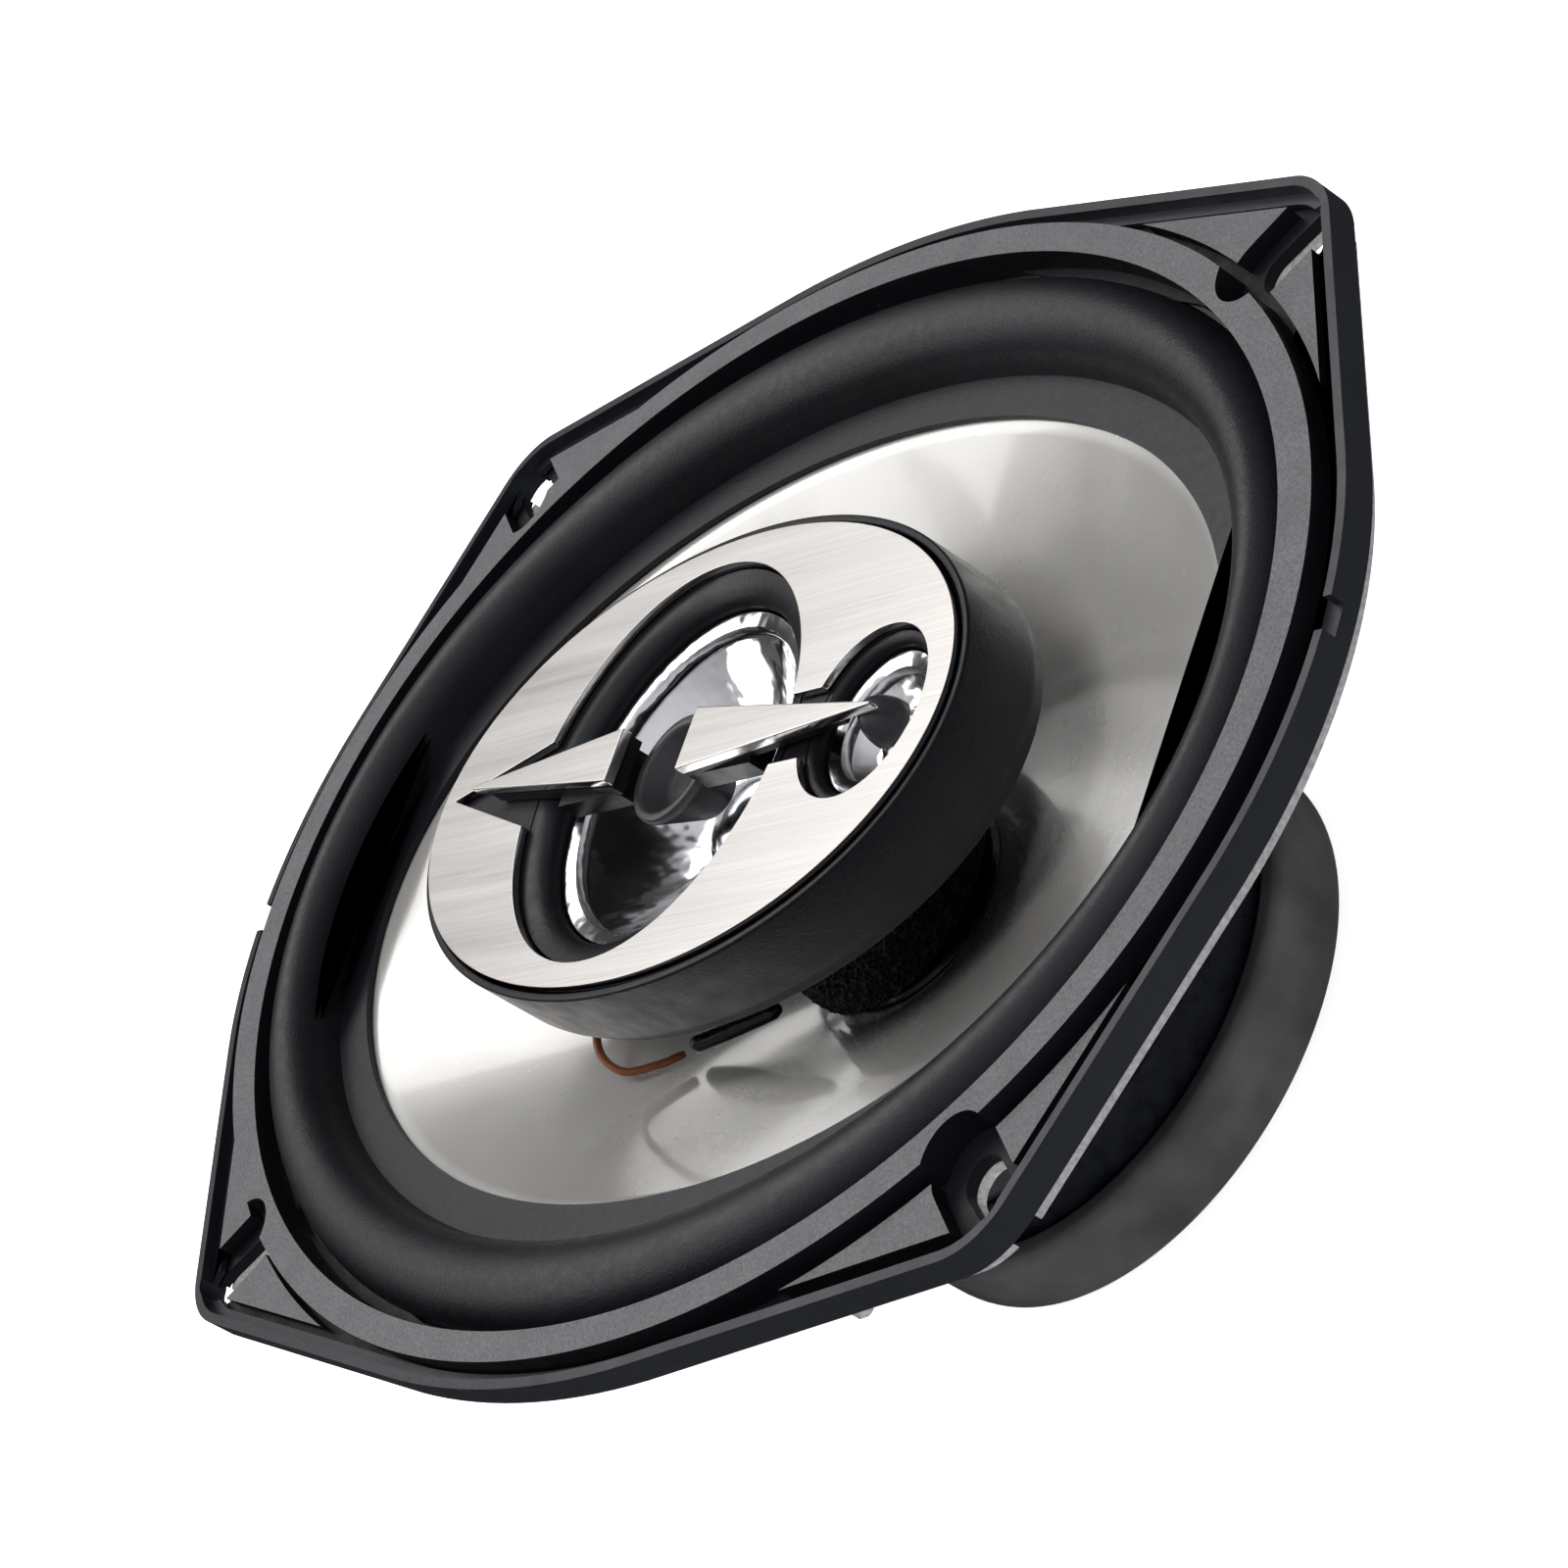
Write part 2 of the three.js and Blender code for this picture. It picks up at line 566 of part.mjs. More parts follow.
addPart('blade_right', blade(8, 49, -4.4, 4.8, -1.2), BRUSHED);
const capacitor = rod(4, -6, 6, 16);
addPart('capacitor_tweeter', capacitor, BLACK_PLASTIC, { x: -42, y: 7.5, z: 75.3, turnX: Math.PI / 2 });
addPart('capacitor_supertweeter', capacitor, BLACK_PLASTIC, { x: -42, y: -7.5, z: 75.3, turnX: Math.PI / 2 });

// Leads and terminals
addPart('tweeter_lead', wire([
  [-26, -15.5, 60.6], [-31, -24, 62], [-30.5, -29, 61], [-27, -31.2, 58.5], [-23.5, -29, 55.5],
  [-21.5, -26.5, 53.4],
], 0.6), COPPER);
addPart('lead_sleeve', wire([[-21, -25.2, 53.1], [-15, -22.5, 51.4], [-8, -19.3, 49.8]], 1.2, 8), RUBBER);
addPart('terminal_board', terminalBoard(), PHENOLIC);
const terminals = [
  { name: 'positive', side: 1, width: 4.8 },
  { name: 'negative', side: -1, width: 2.8 },
];
for (const { name, side, width } of terminals) {
  const route = [[5.5, 51, 32.4], [6.5, 52, 36.5], [8, 48, 42], [9, 40, 45.5], [9, 32, 50]];
  addPart(`terminal_${name}`, spade(width), BRASS, { x: side * 5.5 });
  addPart(`terminal_rivet_${name}`, terminalRivet(), BRASS, { x: side * 10.5, y: 45 });
  addPart(`tinsel_lead_${name}`, wire(route.map(([x, y, z]) => [side * x, y, z]), 0.6), COPPER);
}

export default speaker;
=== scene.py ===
"""Oval coaxial car speaker, finished in the order it is assembled: motor, basket, cone, rim, then pod."""
import math

import bmesh
import bpy
from mathutils import Matrix, Vector


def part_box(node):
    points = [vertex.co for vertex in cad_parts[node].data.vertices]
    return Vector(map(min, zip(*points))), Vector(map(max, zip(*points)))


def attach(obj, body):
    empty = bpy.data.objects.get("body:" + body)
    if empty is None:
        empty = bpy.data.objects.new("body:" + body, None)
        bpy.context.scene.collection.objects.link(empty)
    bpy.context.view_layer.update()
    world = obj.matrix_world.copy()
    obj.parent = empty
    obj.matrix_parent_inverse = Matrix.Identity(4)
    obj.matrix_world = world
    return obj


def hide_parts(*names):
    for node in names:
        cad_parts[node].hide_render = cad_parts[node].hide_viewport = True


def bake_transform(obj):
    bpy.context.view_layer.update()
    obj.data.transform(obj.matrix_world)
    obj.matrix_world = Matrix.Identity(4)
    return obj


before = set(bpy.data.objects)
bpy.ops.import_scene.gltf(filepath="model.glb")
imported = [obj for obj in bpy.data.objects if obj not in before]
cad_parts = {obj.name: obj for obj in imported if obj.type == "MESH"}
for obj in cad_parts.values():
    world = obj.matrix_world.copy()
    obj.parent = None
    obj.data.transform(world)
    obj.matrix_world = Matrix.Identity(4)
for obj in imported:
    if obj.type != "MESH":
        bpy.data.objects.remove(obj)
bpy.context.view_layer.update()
MM = 0.001


# Camera and light tent. The speaker lies on its magnet on a pale floor, and the camera looks at its
# face from low on the right. Cards beyond it are mirrored in the face plate and the horns, and two lamps
# that nothing mirrors light the cone and the side.
face_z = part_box("front_gasket")[1].z
aim = Vector((0, 0, face_z))
back = Vector((0.809, -0.361, 0.463)).normalized()
right = Vector((0.129, 0.878, 0.46)).cross(back).normalized()
up = back.cross(right)
camera_data = bpy.data.cameras.new("camera")
camera_data.lens = 112.5
camera_data.sensor_width = 36
camera = bpy.data.objects.new("camera", camera_data)
bpy.context.collection.objects.link(camera)
turn = Matrix((right, up, back)).transposed().to_4x4()
camera.matrix_world = Matrix.Translation(aim + Vector((0.5251, -0.2289, 0.2898))) @ turn
bpy.context.scene.camera = camera


def softbox(name, direction, distance, width, height, radiance, reflected=True):
    """A rectangular softbox that faces the speaker; radiance is how bright its cloth looks."""
    data = bpy.data.lights.new(name, "AREA")
    data.shape = "RECTANGLE"
    data.size = width
    data.size_y = height
    data.energy = radiance * math.pi * width * height
    lamp = bpy.data.objects.new(name, data)
    bpy.context.collection.objects.link(lamp)
    lamp.location = aim + Vector(direction).normalized() * distance
    lamp.rotation_euler = (lamp.location - aim).to_track_quat("Z", "Y").to_euler()
    lamp.visible_glossy = reflected


softbox("face_card", (-0.655, 0.29, 0.70), 1.1, 1.1, 0.52, 2.3)
softbox("side_card", (-0.76, -0.36, 0.54), 1.1, 0.5, 0.45, 1.5)
softbox("key", (0.45, -0.25, 0.86), 1.1, 0.4, 0.4, 15, False)
softbox("overhead_strip", (0.1, 0.1, 1.0), 1.0, 0.12, 0.5, 2.0)
softbox("camera_fill", (0.75, -0.6, 0.05), 1.1, 0.6, 0.5, 4, False)

world = bpy.data.worlds.new("tent")
bpy.context.scene.world = world
world.use_nodes = True
sky = world.node_tree.nodes["Background"]
sky.inputs["Color"].default_value = (0.96, 0.97, 1, 1)
direction = world.node_tree.nodes.new("ShaderNodeTexCoord").outputs["Generated"]
height = world.node_tree.nodes.new("ShaderNodeSeparateXYZ")
rise = world.node_tree.nodes.new("ShaderNodeMapRange")
rise.inputs["From Min"].default_value = 0.4
rise.inputs["From Max"].default_value = 1.0
rise.inputs["To Min"].default_value = 0.05
rise.inputs["To Max"].default_value = 0.7
world.node_tree.links.new(direction, height.inputs["Vector"])
world.node_tree.links.new(height.outputs["Z"], rise.inputs["Value"])
world.node_tree.links.new(rise.outputs["Result"], sky.inputs["Strength"])
bpy.context.scene.view_settings.view_transform = "Standard"

floor_mesh = bpy.data.meshes.new("floor")
reach = 6.0
floor_corners = [(-reach, -reach, 0), (reach, -reach, 0), (reach, reach, 0), (-reach, reach, 0)]
floor_mesh.from_pydata(floor_corners, [], [(0, 1, 2, 3)])
floor = bpy.data.objects.new("floor", floor_mesh)
bpy.context.collection.objects.link(floor)
floor.visible_glossy = False
floor_paint = bpy.data.materials.new("floor_paint")
floor_paint.use_nodes = True
floor_shader = floor_paint.node_tree.nodes["Principled BSDF"]
floor_shader.inputs["Base Color"].default_value = (0.9, 0.9, 0.89, 1)
floor_shader.inputs["Roughness"].default_value = 0.9
floor_shader.inputs["Emission Color"].default_value = (1, 1, 0.985, 1)
floor_shader.inputs["Emission Strength"].default_value = 0.85
floor.data.materials.append(floor_paint)


# Magnet boot: a cup of black rubber moulded with a rounded rear edge and pushed over the magnet. Its
# skin is matt, mottled by bloom, with fine flow marks round it.
def start_finish(name, color, roughness, metallic=0.0):
    """A new material with one Principled shader, and the object coordinates to drive it."""
    finish = bpy.data.materials.new(name)
    finish.use_nodes = True
    tree = finish.node_tree
    shader = tree.nodes["Principled BSDF"]
    shader.inputs["Base Color"].default_value = (*color, 1)
    shader.inputs["Roughness"].default_value = roughness
    shader.inputs["Metallic"].default_value = metallic
    place = tree.nodes.new("ShaderNodeTexCoord").outputs["Object"]
    return finish, tree, shader, place


def stretched(tree, place, scale):
    """The coordinates scaled differently along each axis, for streaks."""
    mapping = tree.nodes.new("ShaderNodeMapping")
    mapping.inputs["Scale"].default_value = scale
    tree.links.new(place, mapping.inputs["Vector"])
    return mapping.outputs["Vector"]


def grain(tree, place, scale, detail=4.0, roughness=0.55):
    """A noise pattern; scale is in lumps per metre."""
    noise = tree.nodes.new("ShaderNodeTexNoise")
    noise.inputs["Scale"].default_value = scale
    noise.inputs["Detail"].default_value = detail
    noise.inputs["Roughness"].default_value = roughness
    tree.links.new(place, noise.inputs["Vector"])
    return noise.outputs["Fac"]


def spread(tree, value, low, high, start=0.3, end=0.7):
    """Maps a pattern from start..end to low..high."""
    node = tree.nodes.new("ShaderNodeMapRange")
    node.inputs["From Min"].default_value = start
    node.inputs["From Max"].default_value = end
    node.inputs["To Min"].default_value = low
    node.inputs["To Max"].default_value = high
    tree.links.new(value, node.inputs["Value"])
    return node.outputs["Result"]


def blend_colors(tree, value, first, second):
    """A colour between two, by a pattern from 0 to 1."""
    node = tree.nodes.new("ShaderNodeMix")
    node.data_type = "RGBA"
    node.inputs["A"].default_value = (*first, 1)
    node.inputs["B"].default_value = (*second, 1)
    tree.links.new(value, node.inputs["Factor"])
    return node.outputs["Result"]


def roughen(tree, shader, height, distance, strength):
    """Adds a bump to the shader; distance is the height of its lumps in metres."""
    node = tree.nodes.new("ShaderNodeBump")
    node.inputs["Strength"].default_value = strength
    node.inputs["Distance"].default_value = distance
    tree.links.new(height, node.inputs["Height"])
    tree.links.new(node.outputs["Normal"], shader.inputs["Normal"])


def dress(piece, *finishes):
    """Gives a piece its finishes, in place of any it has."""
    piece.data.materials.clear()
    for finish in finishes:
        piece.data.materials.append(finish)


def dress_node(name, finish):
    """Gives a carried-over piece a better finish in its slots."""
    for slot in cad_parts[name].material_slots:
        slot.material = finish


def eased(section, radius, steps=4):
    """Rounds the corners of a closed section, given as rows of half widths, height and offset."""
    rows = [Vector((*row, *([0] * (4 - len(row))))) for row in section]
    result = []
    for i, here in enumerate(rows):
        before = rows[i - 1] - here
        after = rows[(i + 1) % len(rows)] - here
        if before.angle(after) > math.radians(172):
            result.append(here)
            continue
        start = here + before.normalized() * min(radius, before.length * 0.45)
        end = here + after.normalized() * min(radius, after.length * 0.45)
        for k in range(steps + 1):
            t = k / steps
            result.append(start * (1 - t) ** 2 + here * 2 * t * (1 - t) + end * t * t)
    return result


def new_piece(name, points, faces, crease=35):
    """A mesh piece from points in millimetres, with its faces turned out and smooth between creases."""
    mesh = bpy.data.meshes.new(name)
    mesh.from_pydata([Vector(point) * MM for point in points], [], faces)
    shape = bmesh.new()
    shape.from_mesh(mesh)
    bmesh.ops.remove_doubles(shape, verts=shape.verts, dist=1e-7)
    bmesh.ops.recalc_face_normals(shape, faces=shape.faces)
    shape.to_mesh(mesh)
    shape.free()
    piece = bpy.data.objects.new(name, mesh)
    bpy.context.collection.objects.link(piece)
    smooth(piece, crease)
    return piece


def smooth(piece, crease=35):
    """Shades a piece smooth, except along edges sharper than crease degrees."""
    mesh = piece.data
    mesh.polygons.foreach_set("use_smooth", [True] * len(mesh.polygons))
    mesh.set_sharp_from_angle(angle=math.radians(crease))


def ring_piece(name, section, steps=192, bulge=None, crease=35):
    """A ring whose closed section runs round an oval: rows are (half x, half y, height, x offset)."""
    rows = [Vector((*row, *([0] * (4 - len(row))))) for row in section]
    points = []
    for j, (a, b, z, x) in enumerate(rows):
        for i in range(steps):
            t = 2 * math.pi * i / steps
            angle = math.atan2(0.72 * math.sin(t), math.cos(t)) if a != b else t
            across = 1 / math.hypot(math.cos(angle) / a, math.sin(angle) / b)
            lift = bulge(angle, across, z) if bulge else 0
            points.append((x + across * math.cos(angle), across * math.sin(angle), z + lift))
    faces = []
    for j in range(len(rows)):
        k = (j + 1) % len(rows)
        for i in range(steps):
            n = (i + 1) % steps
            faces.append((j * steps + i, j * steps + n, k * steps + n, k * steps + i))
    return new_piece(name, points, faces, crease)


def turned_piece(name, profile, x=0.0, radius=0.0, steps=96, crease=35):
    """A turned piece with rounded edges. Its profile of (radius, height) pairs is closed, and a radius
    of 0 is drawn in to a pinhole that is then welded shut."""
    rows = [(max(r, 1e-6), max(r, 1e-6), z, x) for r, z in profile]
    rows = eased(rows, radius) if radius else rows
    return ring_piece(name, rows, steps, crease=crease)


rubber_boot, tree, shader, place = start_finish("moulded_boot_rubber", (0.03, 0.03, 0.034), 0.55)
mottle = grain(tree, place, 60, 6)
tree.links.new(blend_colors(tree, spread(tree, mottle, 0, 1), (0.03, 0.03, 0.034), (0.085, 0.085, 0.09)),
               shader.inputs["Base Color"])
tree.links.new(spread(tree, grain(tree, place, 150), 0.42, 0.62), shader.inputs["Roughness"])
flow = grain(tree, stretched(tree, place, (20, 20, 260)), 1)
roughen(tree, shader, flow, 0.0003, 0.25)

boot_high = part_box("magnet_boot")[1]
boot_radius = boot_high.x / MM
boot_height = boot_high.z / MM
boot = turned_piece("boot_cup", [
    (9, 0), (boot_radius - 2.4, 0), (boot_radius - 0.5, 1.0), (boot_radius, 3),
    (boot_radius, boot_height - 1), (boot_radius - 0.9, boot_height),
    (boot_radius - 3.6, boot_height), (boot_radius - 3.6, 2), (9, 2),
], radius=0.9, steps=144)
dress(boot, rubber_boot)
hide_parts("magnet_boot")
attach(boot, "frame")


# Motor: a ferrite ring between a zinc plated top plate and the yoke. The ferrite is ground, dark and
# a little chipped at its edge, and the plates are turned with a small chamfer.
ferrite_finish, tree, shader, place = start_finish("ground_ferrite", (0.012, 0.013, 0.018), 0.3)
chips = grain(tree, place, 400, 5)
tree.links.new(spread(tree, chips, 0.22, 0.4), shader.inputs["Roughness"])
tree.links.new(blend_colors(tree, spread(tree, chips, 0, 1), (0.003, 0.004, 0.007), (0.008, 0.009, 0.013)),
               shader.inputs["Base Color"])
roughen(tree, shader, chips, 0.00004, 0.2)

zinc_finish, tree, shader, place = start_finish("zinc_plate", (0.6, 0.62, 0.65), 0.3, 1.0)
turning = grain(tree, stretched(tree, place, (30, 30, 900)), 1)
tree.links.new(spread(tree, turning, 0.2, 0.38), shader.inputs["Roughness"])
cloud = grain(tree, place, 45)
tree.links.new(blend_colors(tree, spread(tree, cloud, 0, 1), (0.5, 0.52, 0.56), (0.72, 0.74, 0.76)),
               shader.inputs["Base Color"])
roughen(tree, shader, turning, 0.0001, 0.3)

for node, hole, name, finish, slot, edge in (
        ("ferrite_magnet", 20, "ferrite_ring", ferrite_finish, "ferrite", 0.5),
        ("top_plate", 13.8, "top_plate_ring", zinc_finish, "zinc_steel", 0.4)):
    low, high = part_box(node)
    outer, bottom, top = high.x / MM, low.z / MM, high.z / MM
    section = [(hole, bottom), (outer, bottom), (outer, top), (hole, top)]
    ring = turned_piece(name, section, radius=edge, steps=144)
    dress(ring, finish)
    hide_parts(node)
    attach(ring, "frame")
for node in ("yoke", "post_bolt", "post_washer", "post_nut", "tweeter_cup", "supertweeter_cup"):
    dress_node(node, zinc_finish)
for node in ("tweeter_magnet", "supertweeter_magnet"):
    dress_node(node, ferrite_finish)


# Basket: one steel pressing, painted silver. Six windows leave six spokes, each stiffened by a pressed
# bead, and the flat flange at the front carries the screw slots.
def settle(piece):
    """Applies what modifiers a piece has to its mesh."""
    graph = bpy.context.evaluated_depsgraph_get()
    mesh = bpy.data.meshes.new_from_object(piece.evaluated_get(graph))
    piece.modifiers.clear()
    piece.data = mesh
    return piece


def combine(piece, tool, operation="DIFFERENCE"):
    """Cuts a piece with a tool, or joins the two, and drops the tool."""
    cutter = piece.modifiers.new("combine", "BOOLEAN")
    cutter.operation = operation
    cutter.solver = "EXACT"
    cutter.object = tool
    settle(piece)
    bpy.data.objects.remove(tool)
    return piece


def soften(piece, width, steps=2):
    """Rounds a piece's sharp edges and keeps its flat faces flat."""
    shape = bmesh.new()
    shape.from_mesh(piece.data)
    bmesh.ops.remove_doubles(shape, verts=shape.verts, dist=2e-6)
    bmesh.ops.dissolve_limit(shape, angle_limit=math.radians(0.5), verts=shape.verts, edges=shape.edges)
    shape.to_mesh(piece.data)
    shape.free()
    bevel = piece.modifiers.new("soften", "BEVEL")
    bevel.width = width * MM
    bevel.segments = steps
    bevel.limit_method = "ANGLE"
    bevel.angle_limit = math.radians(40)
    bevel.miter_outer = "MITER_ARC"
    settle(piece)
    smooth(piece, 60)
    weight = piece.modifiers.new("weight", "WEIGHTED_NORMAL")
    weight.keep_sharp = True
    settle(piece)
    return piece


def prism(name, outline, low, high):
    """A straight solid from a flat outline, in millimetres."""
    count = len(outline)
    points = [(x, y, low) for x, y in outline] + [(x, y, high) for x, y in outline]
    sides = [(i, (i + 1) % count, count + (i + 1) % count, count + i) for i in range(count)]
    caps = [tuple(reversed(range(count))), tuple(range(count, 2 * count))]
    return new_piece(name, points, sides + caps)


def banded(name, outer, inner, low, high):
    """A flat ring between two outlines that have the same number of points."""
    count = len(outer)
    points = []
    for outline, z in ((outer, low), (outer, high), (inner, high), (inner, low)):
        points += [(x, y, z) for x, y in outline]
    faces = []
    for j in range(4):
        k = (j + 1) % 4
        for i in range(count):
            n = (i + 1) % count
            faces.append((j * count + i, j * count + n, k * count + n, k * count + i))
    return new_piece(name, points, faces)


def oval_points(a, b, x=0.0, steps=160):
    turns = [2 * math.pi * i / steps for i in range(steps)]
    return [(x + a * math.cos(turn), b * math.sin(turn)) for turn in turns]


rim_low, rim_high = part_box("rim_ring")
rim_a = rim_high.x / MM
rim_b = rim_high.y / MM
ear_x, ear_y, ear_radius = 82.5, 60.0, 13.0


def rim_points(inset, steps=288):
    """The rim's outline, drawn in by inset: a taut band round the oval and the four ears."""
    a, b, radius = rim_a - inset, rim_b - inset, ear_radius - inset
    points = []
    for i in range(steps):
        angle = 2 * math.pi * (i + 0.5) / steps
        c, s = math.cos(angle), math.sin(angle)
        reach = math.hypot(a * c, b * s)
        x, y = math.copysign(ear_x, c), math.copysign(ear_y, s)
        if x * c + y * s + radius > reach:
            points.append((x + radius * c, y + radius * s))
        else:
            points.append((a * a * c / reach, b * b * s / reach))
    return points


def slot_points(x, y, radius, length, turn, sides):
    """A slot with round ends, mirrored into one of the four corners by sides."""
    points = []
    for k in range(25):
        angle = math.pi / 2 + math.pi * k / 24
        points.append((radius * math.cos(angle), radius * math.sin(angle)))
    points += [(length - px, -py) for px, py in points]
    c, s = math.cos(turn), math.sin(turn)
    placed = [(x + px * c - py * s, y + px * s + py * c) for px, py in points]
    return [(px * sides[0], py * sides[1]) for px, py in placed]


corners = [(1, 1), (1, -1), (-1, 1), (-1, -1)]
screw_slot = (84, 61, 3.1, 7, 0.66)

silver_paint, tree, shader, place = start_finish("silver_basket_paint", (0.4, 0.4, 0.41), 0.34, 0.35)
flake = grain(tree, place, 1400, 2)
tree.links.new(blend_colors(tree, spread(tree, flake, 0, 1), (0.3, 0.3, 0.31), (0.5, 0.5, 0.51)),
               shader.inputs["Base Color"])
tree.links.new(spread(tree, grain(tree, place, 90), 0.28, 0.42), shader.inputs["Roughness"])
shader.inputs["Coat Weight"].default_value = 0.35
shader.inputs["Coat Roughness"].default_value = 0.15
roughen(tree, shader, grain(tree, place, 500), 0.0001, 0.25)


def spoke_bead(angle, across, z):
    """A pressed bead along the middle of each spoke, which stands out from the back of the pressing."""
    nearest = round(angle / (math.pi / 3)) * (math.pi / 3)
    sideways = (angle - nearest) * across / 2.6
    along = min(max((z - 35) / 5, 0), 1) * min(max((56 - z) / 4, 0), 1)
    return -1.7 * math.exp(-sideways * sideways) * along


def slope(start, end, count):
    """Rows between two rows of a section, both ends left out."""
    return [[s + (e - s) * k / count for s, e in zip(start, end)] for k in range(1, count)]


ledge_out, wall_out = [40.5, 40.5, 32.5], [98.6, 67.4, 57.6]
ledge_in, wall_in = [39.6, 39.6, 33.7], [97.6, 66.4, 58.6]
basket_section = eased([
    [14.6, 14.6, 25.6], [33.5, 33.5, 25.6], [34.5, 34.5, 31.5], ledge_out, *slope(ledge_out, wall_out, 12),
    wall_out, [103.4, 72.4, 67.6], [105.6, 74.6, 68.3], [105.6, 74.6, 69.7], [103.2, 72.2, 69.7],
    [102.2, 71.2, 68.2], wall_in, *slope(wall_in, ledge_in, 12), ledge_in, [33.3, 33.3, 32.7],
    [32.3, 32.3, 26.8], [14.6, 14.6, 26.8],
], 1.2)
basket = ring_piece("pressed_basket", basket_section, 288, spoke_bead)
for k in range(6):
    middle = math.pi / 6 + k * math.pi / 3
    edge = [middle + 0.36 * (i / 8 - 1) for i in range(17)]
    window = [(44 * math.cos(t), 44 * math.sin(t)) for t in edge]
    for t in reversed(edge):
        across = 1 / math.hypot(math.cos(t) / 91, math.sin(t) / 61)
        window.append((across * math.cos(t), across * math.sin(t)))
    combine(basket, prism("window", window, 20, 80))
flange_low, flange_high = 68.3, 69.7
oval_hole = [(103.4 * math.cos(t), 72.4 * math.sin(t)) for t in
             (math.atan2(y / 72.4, x / 103.4) for x, y in rim_points(1.7))]
combine(basket, banded("flange", rim_points(1.7), oval_hole, flange_low, flange_high), "UNION")
for sides in corners:
    combine(basket, prism("slot", slot_points(*screw_slot, sides), 60, 75))
bracket = prism("bracket", [(-15, 36.5), (15, 36.5), (15, 48.5), (-15, 48.5)], 31.6, 32.9)
combine(basket, bracket, "UNION")
pin_radius, pin_low, pin_high = 1.5, flange_low - 1.8, flange_low + 0.7
pin_section = [(0, pin_low), (pin_radius - 0.5, pin_low), (pin_radius, pin_low + 0.6),
               (pin_radius, pin_high), (0, pin_high)]
for x, y in ((62, -73.8), (84, 69.5), (-62, 73.8), (-84, -69.5)):
    pin = turned_piece("pin", pin_section, steps=24)
    for vertex in pin.data.vertices:
        vertex.co += Vector((x * MM, y * MM, 0))
    combine(basket, pin, "UNION")
soften(basket, 0.25)
dress(basket, silver_paint)
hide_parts("basket")
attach(basket, "frame")


# Basket rivets: four domed heads staked over the top plate, all alike, on one circle.
def group_input(tree, name, kind, value):
    """Adds a named input with a starting value to a node group."""
    socket = tree.interface.new_socket(name=name, in_out="INPUT", socket_type=kind)
    socket.default_value = value
    return socket.identifier


def rivet_tree(finish):
    """Instances a domed rivet on each point of a circle."""
    tree = bpy.data.node_groups.new("rivet_circle", "GeometryNodeTree")
    group_input(tree, "Count", "NodeSocketInt", 4)
    group_input(tree, "Circle Radius", "NodeSocketFloat", 0.02)
    group_input(tree, "Head Radius", "NodeSocketFloat", 0.003)
    group_input(tree, "Height", "NodeSocketFloat", 0.002)
    tree.interface.new_socket(name="Geometry", in_out="OUTPUT", socket_type="NodeSocketGeometry")
    nodes, link = tree.nodes, tree.links.new
    given = nodes.new("NodeGroupInput")
    circle = nodes.new("GeometryNodeMeshCircle")
    link(given.outputs["Count"], circle.inputs["Vertices"])
    link(given.outputs["Circle Radius"], circle.inputs["Radius"])
    head = nodes.new("GeometryNodeMeshUVSphere")
    head.inputs["Segments"].default_value = 28
    head.inputs["Rings"].default_value = 14
    link(given.outputs["Head Radius"], head.inputs["Radius"])
    flatten = nodes.new("GeometryNodeTransform")
    flatten.inputs["Scale"].default_value = (1, 1, 0.45)
    link(head.outputs["Mesh"], flatten.inputs["Geometry"])
    stand = nodes.new("GeometryNodeInstanceOnPoints")
    link(circle.outputs["Mesh"], stand.inputs["Points"])
    link(flatten.outputs["Geometry"], stand.inputs["Instance"])
    lift = nodes.new("ShaderNodeCombineXYZ")
    link(given.outputs["Height"], lift.inputs["Z"])
    raise_up = nodes.new("GeometryNodeTransform")
    link(stand.outputs["Instances"], raise_up.inputs["Geometry"])
    link(lift.outputs["Vector"], raise_up.inputs["Translation"])
    spin = nodes.new("GeometryNodeTransform")
    spin.inputs["Rotation"].default_value = (0, 0, math.pi / 4)
    link(raise_up.outputs["Geometry"], spin.inputs["Geometry"])
    real = nodes.new("GeometryNodeRealizeInstances")
    link(spin.outputs["Geometry"], real.inputs["Geometry"])
    paint = nodes.new("GeometryNodeSetMaterial")
    paint.inputs["Material"].default_value = finish
    link(real.outputs["Geometry"], paint.inputs["Geometry"])
    out = nodes.new("NodeGroupOutput")
    link(paint.outputs["Geometry"], out.inputs["Geometry"])
    return tree


def grown(name, tree, values):
    """Runs a node tree with the given input values and returns its result as a plain mesh piece."""
    piece = bpy.data.objects.new(name, bpy.data.meshes.new(name))
    bpy.context.collection.objects.link(piece)
    modifier = piece.modifiers.new("tree", "NODES")
    modifier.node_group = tree
    for item in tree.interface.items_tree:
        if item.item_type == "SOCKET" and item.in_out == "INPUT" and item.name in values:
            modifier[item.identifier] = values[item.name]
    settle(piece)
    smooth(piece)
    return piece


rivet_box = [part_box(f"basket_rivet_{k + 1}") for k in range(4)]
rivet_low, rivet_high = rivet_box[0]
rivet_middle = (rivet_low + rivet_high) / 2
rivets = grown("basket_rivet_heads", rivet_tree(zinc_finish), {
    "Count": 4, "Circle Radius": math.hypot(rivet_middle.x, rivet_middle.y),
    "Head Radius": (rivet_high.x - rivet_low.x) / 2, "Height": 27.0 * MM})
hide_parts(*[f"basket_rivet_{k + 1}" for k in range(4)])
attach(rivets, "frame")


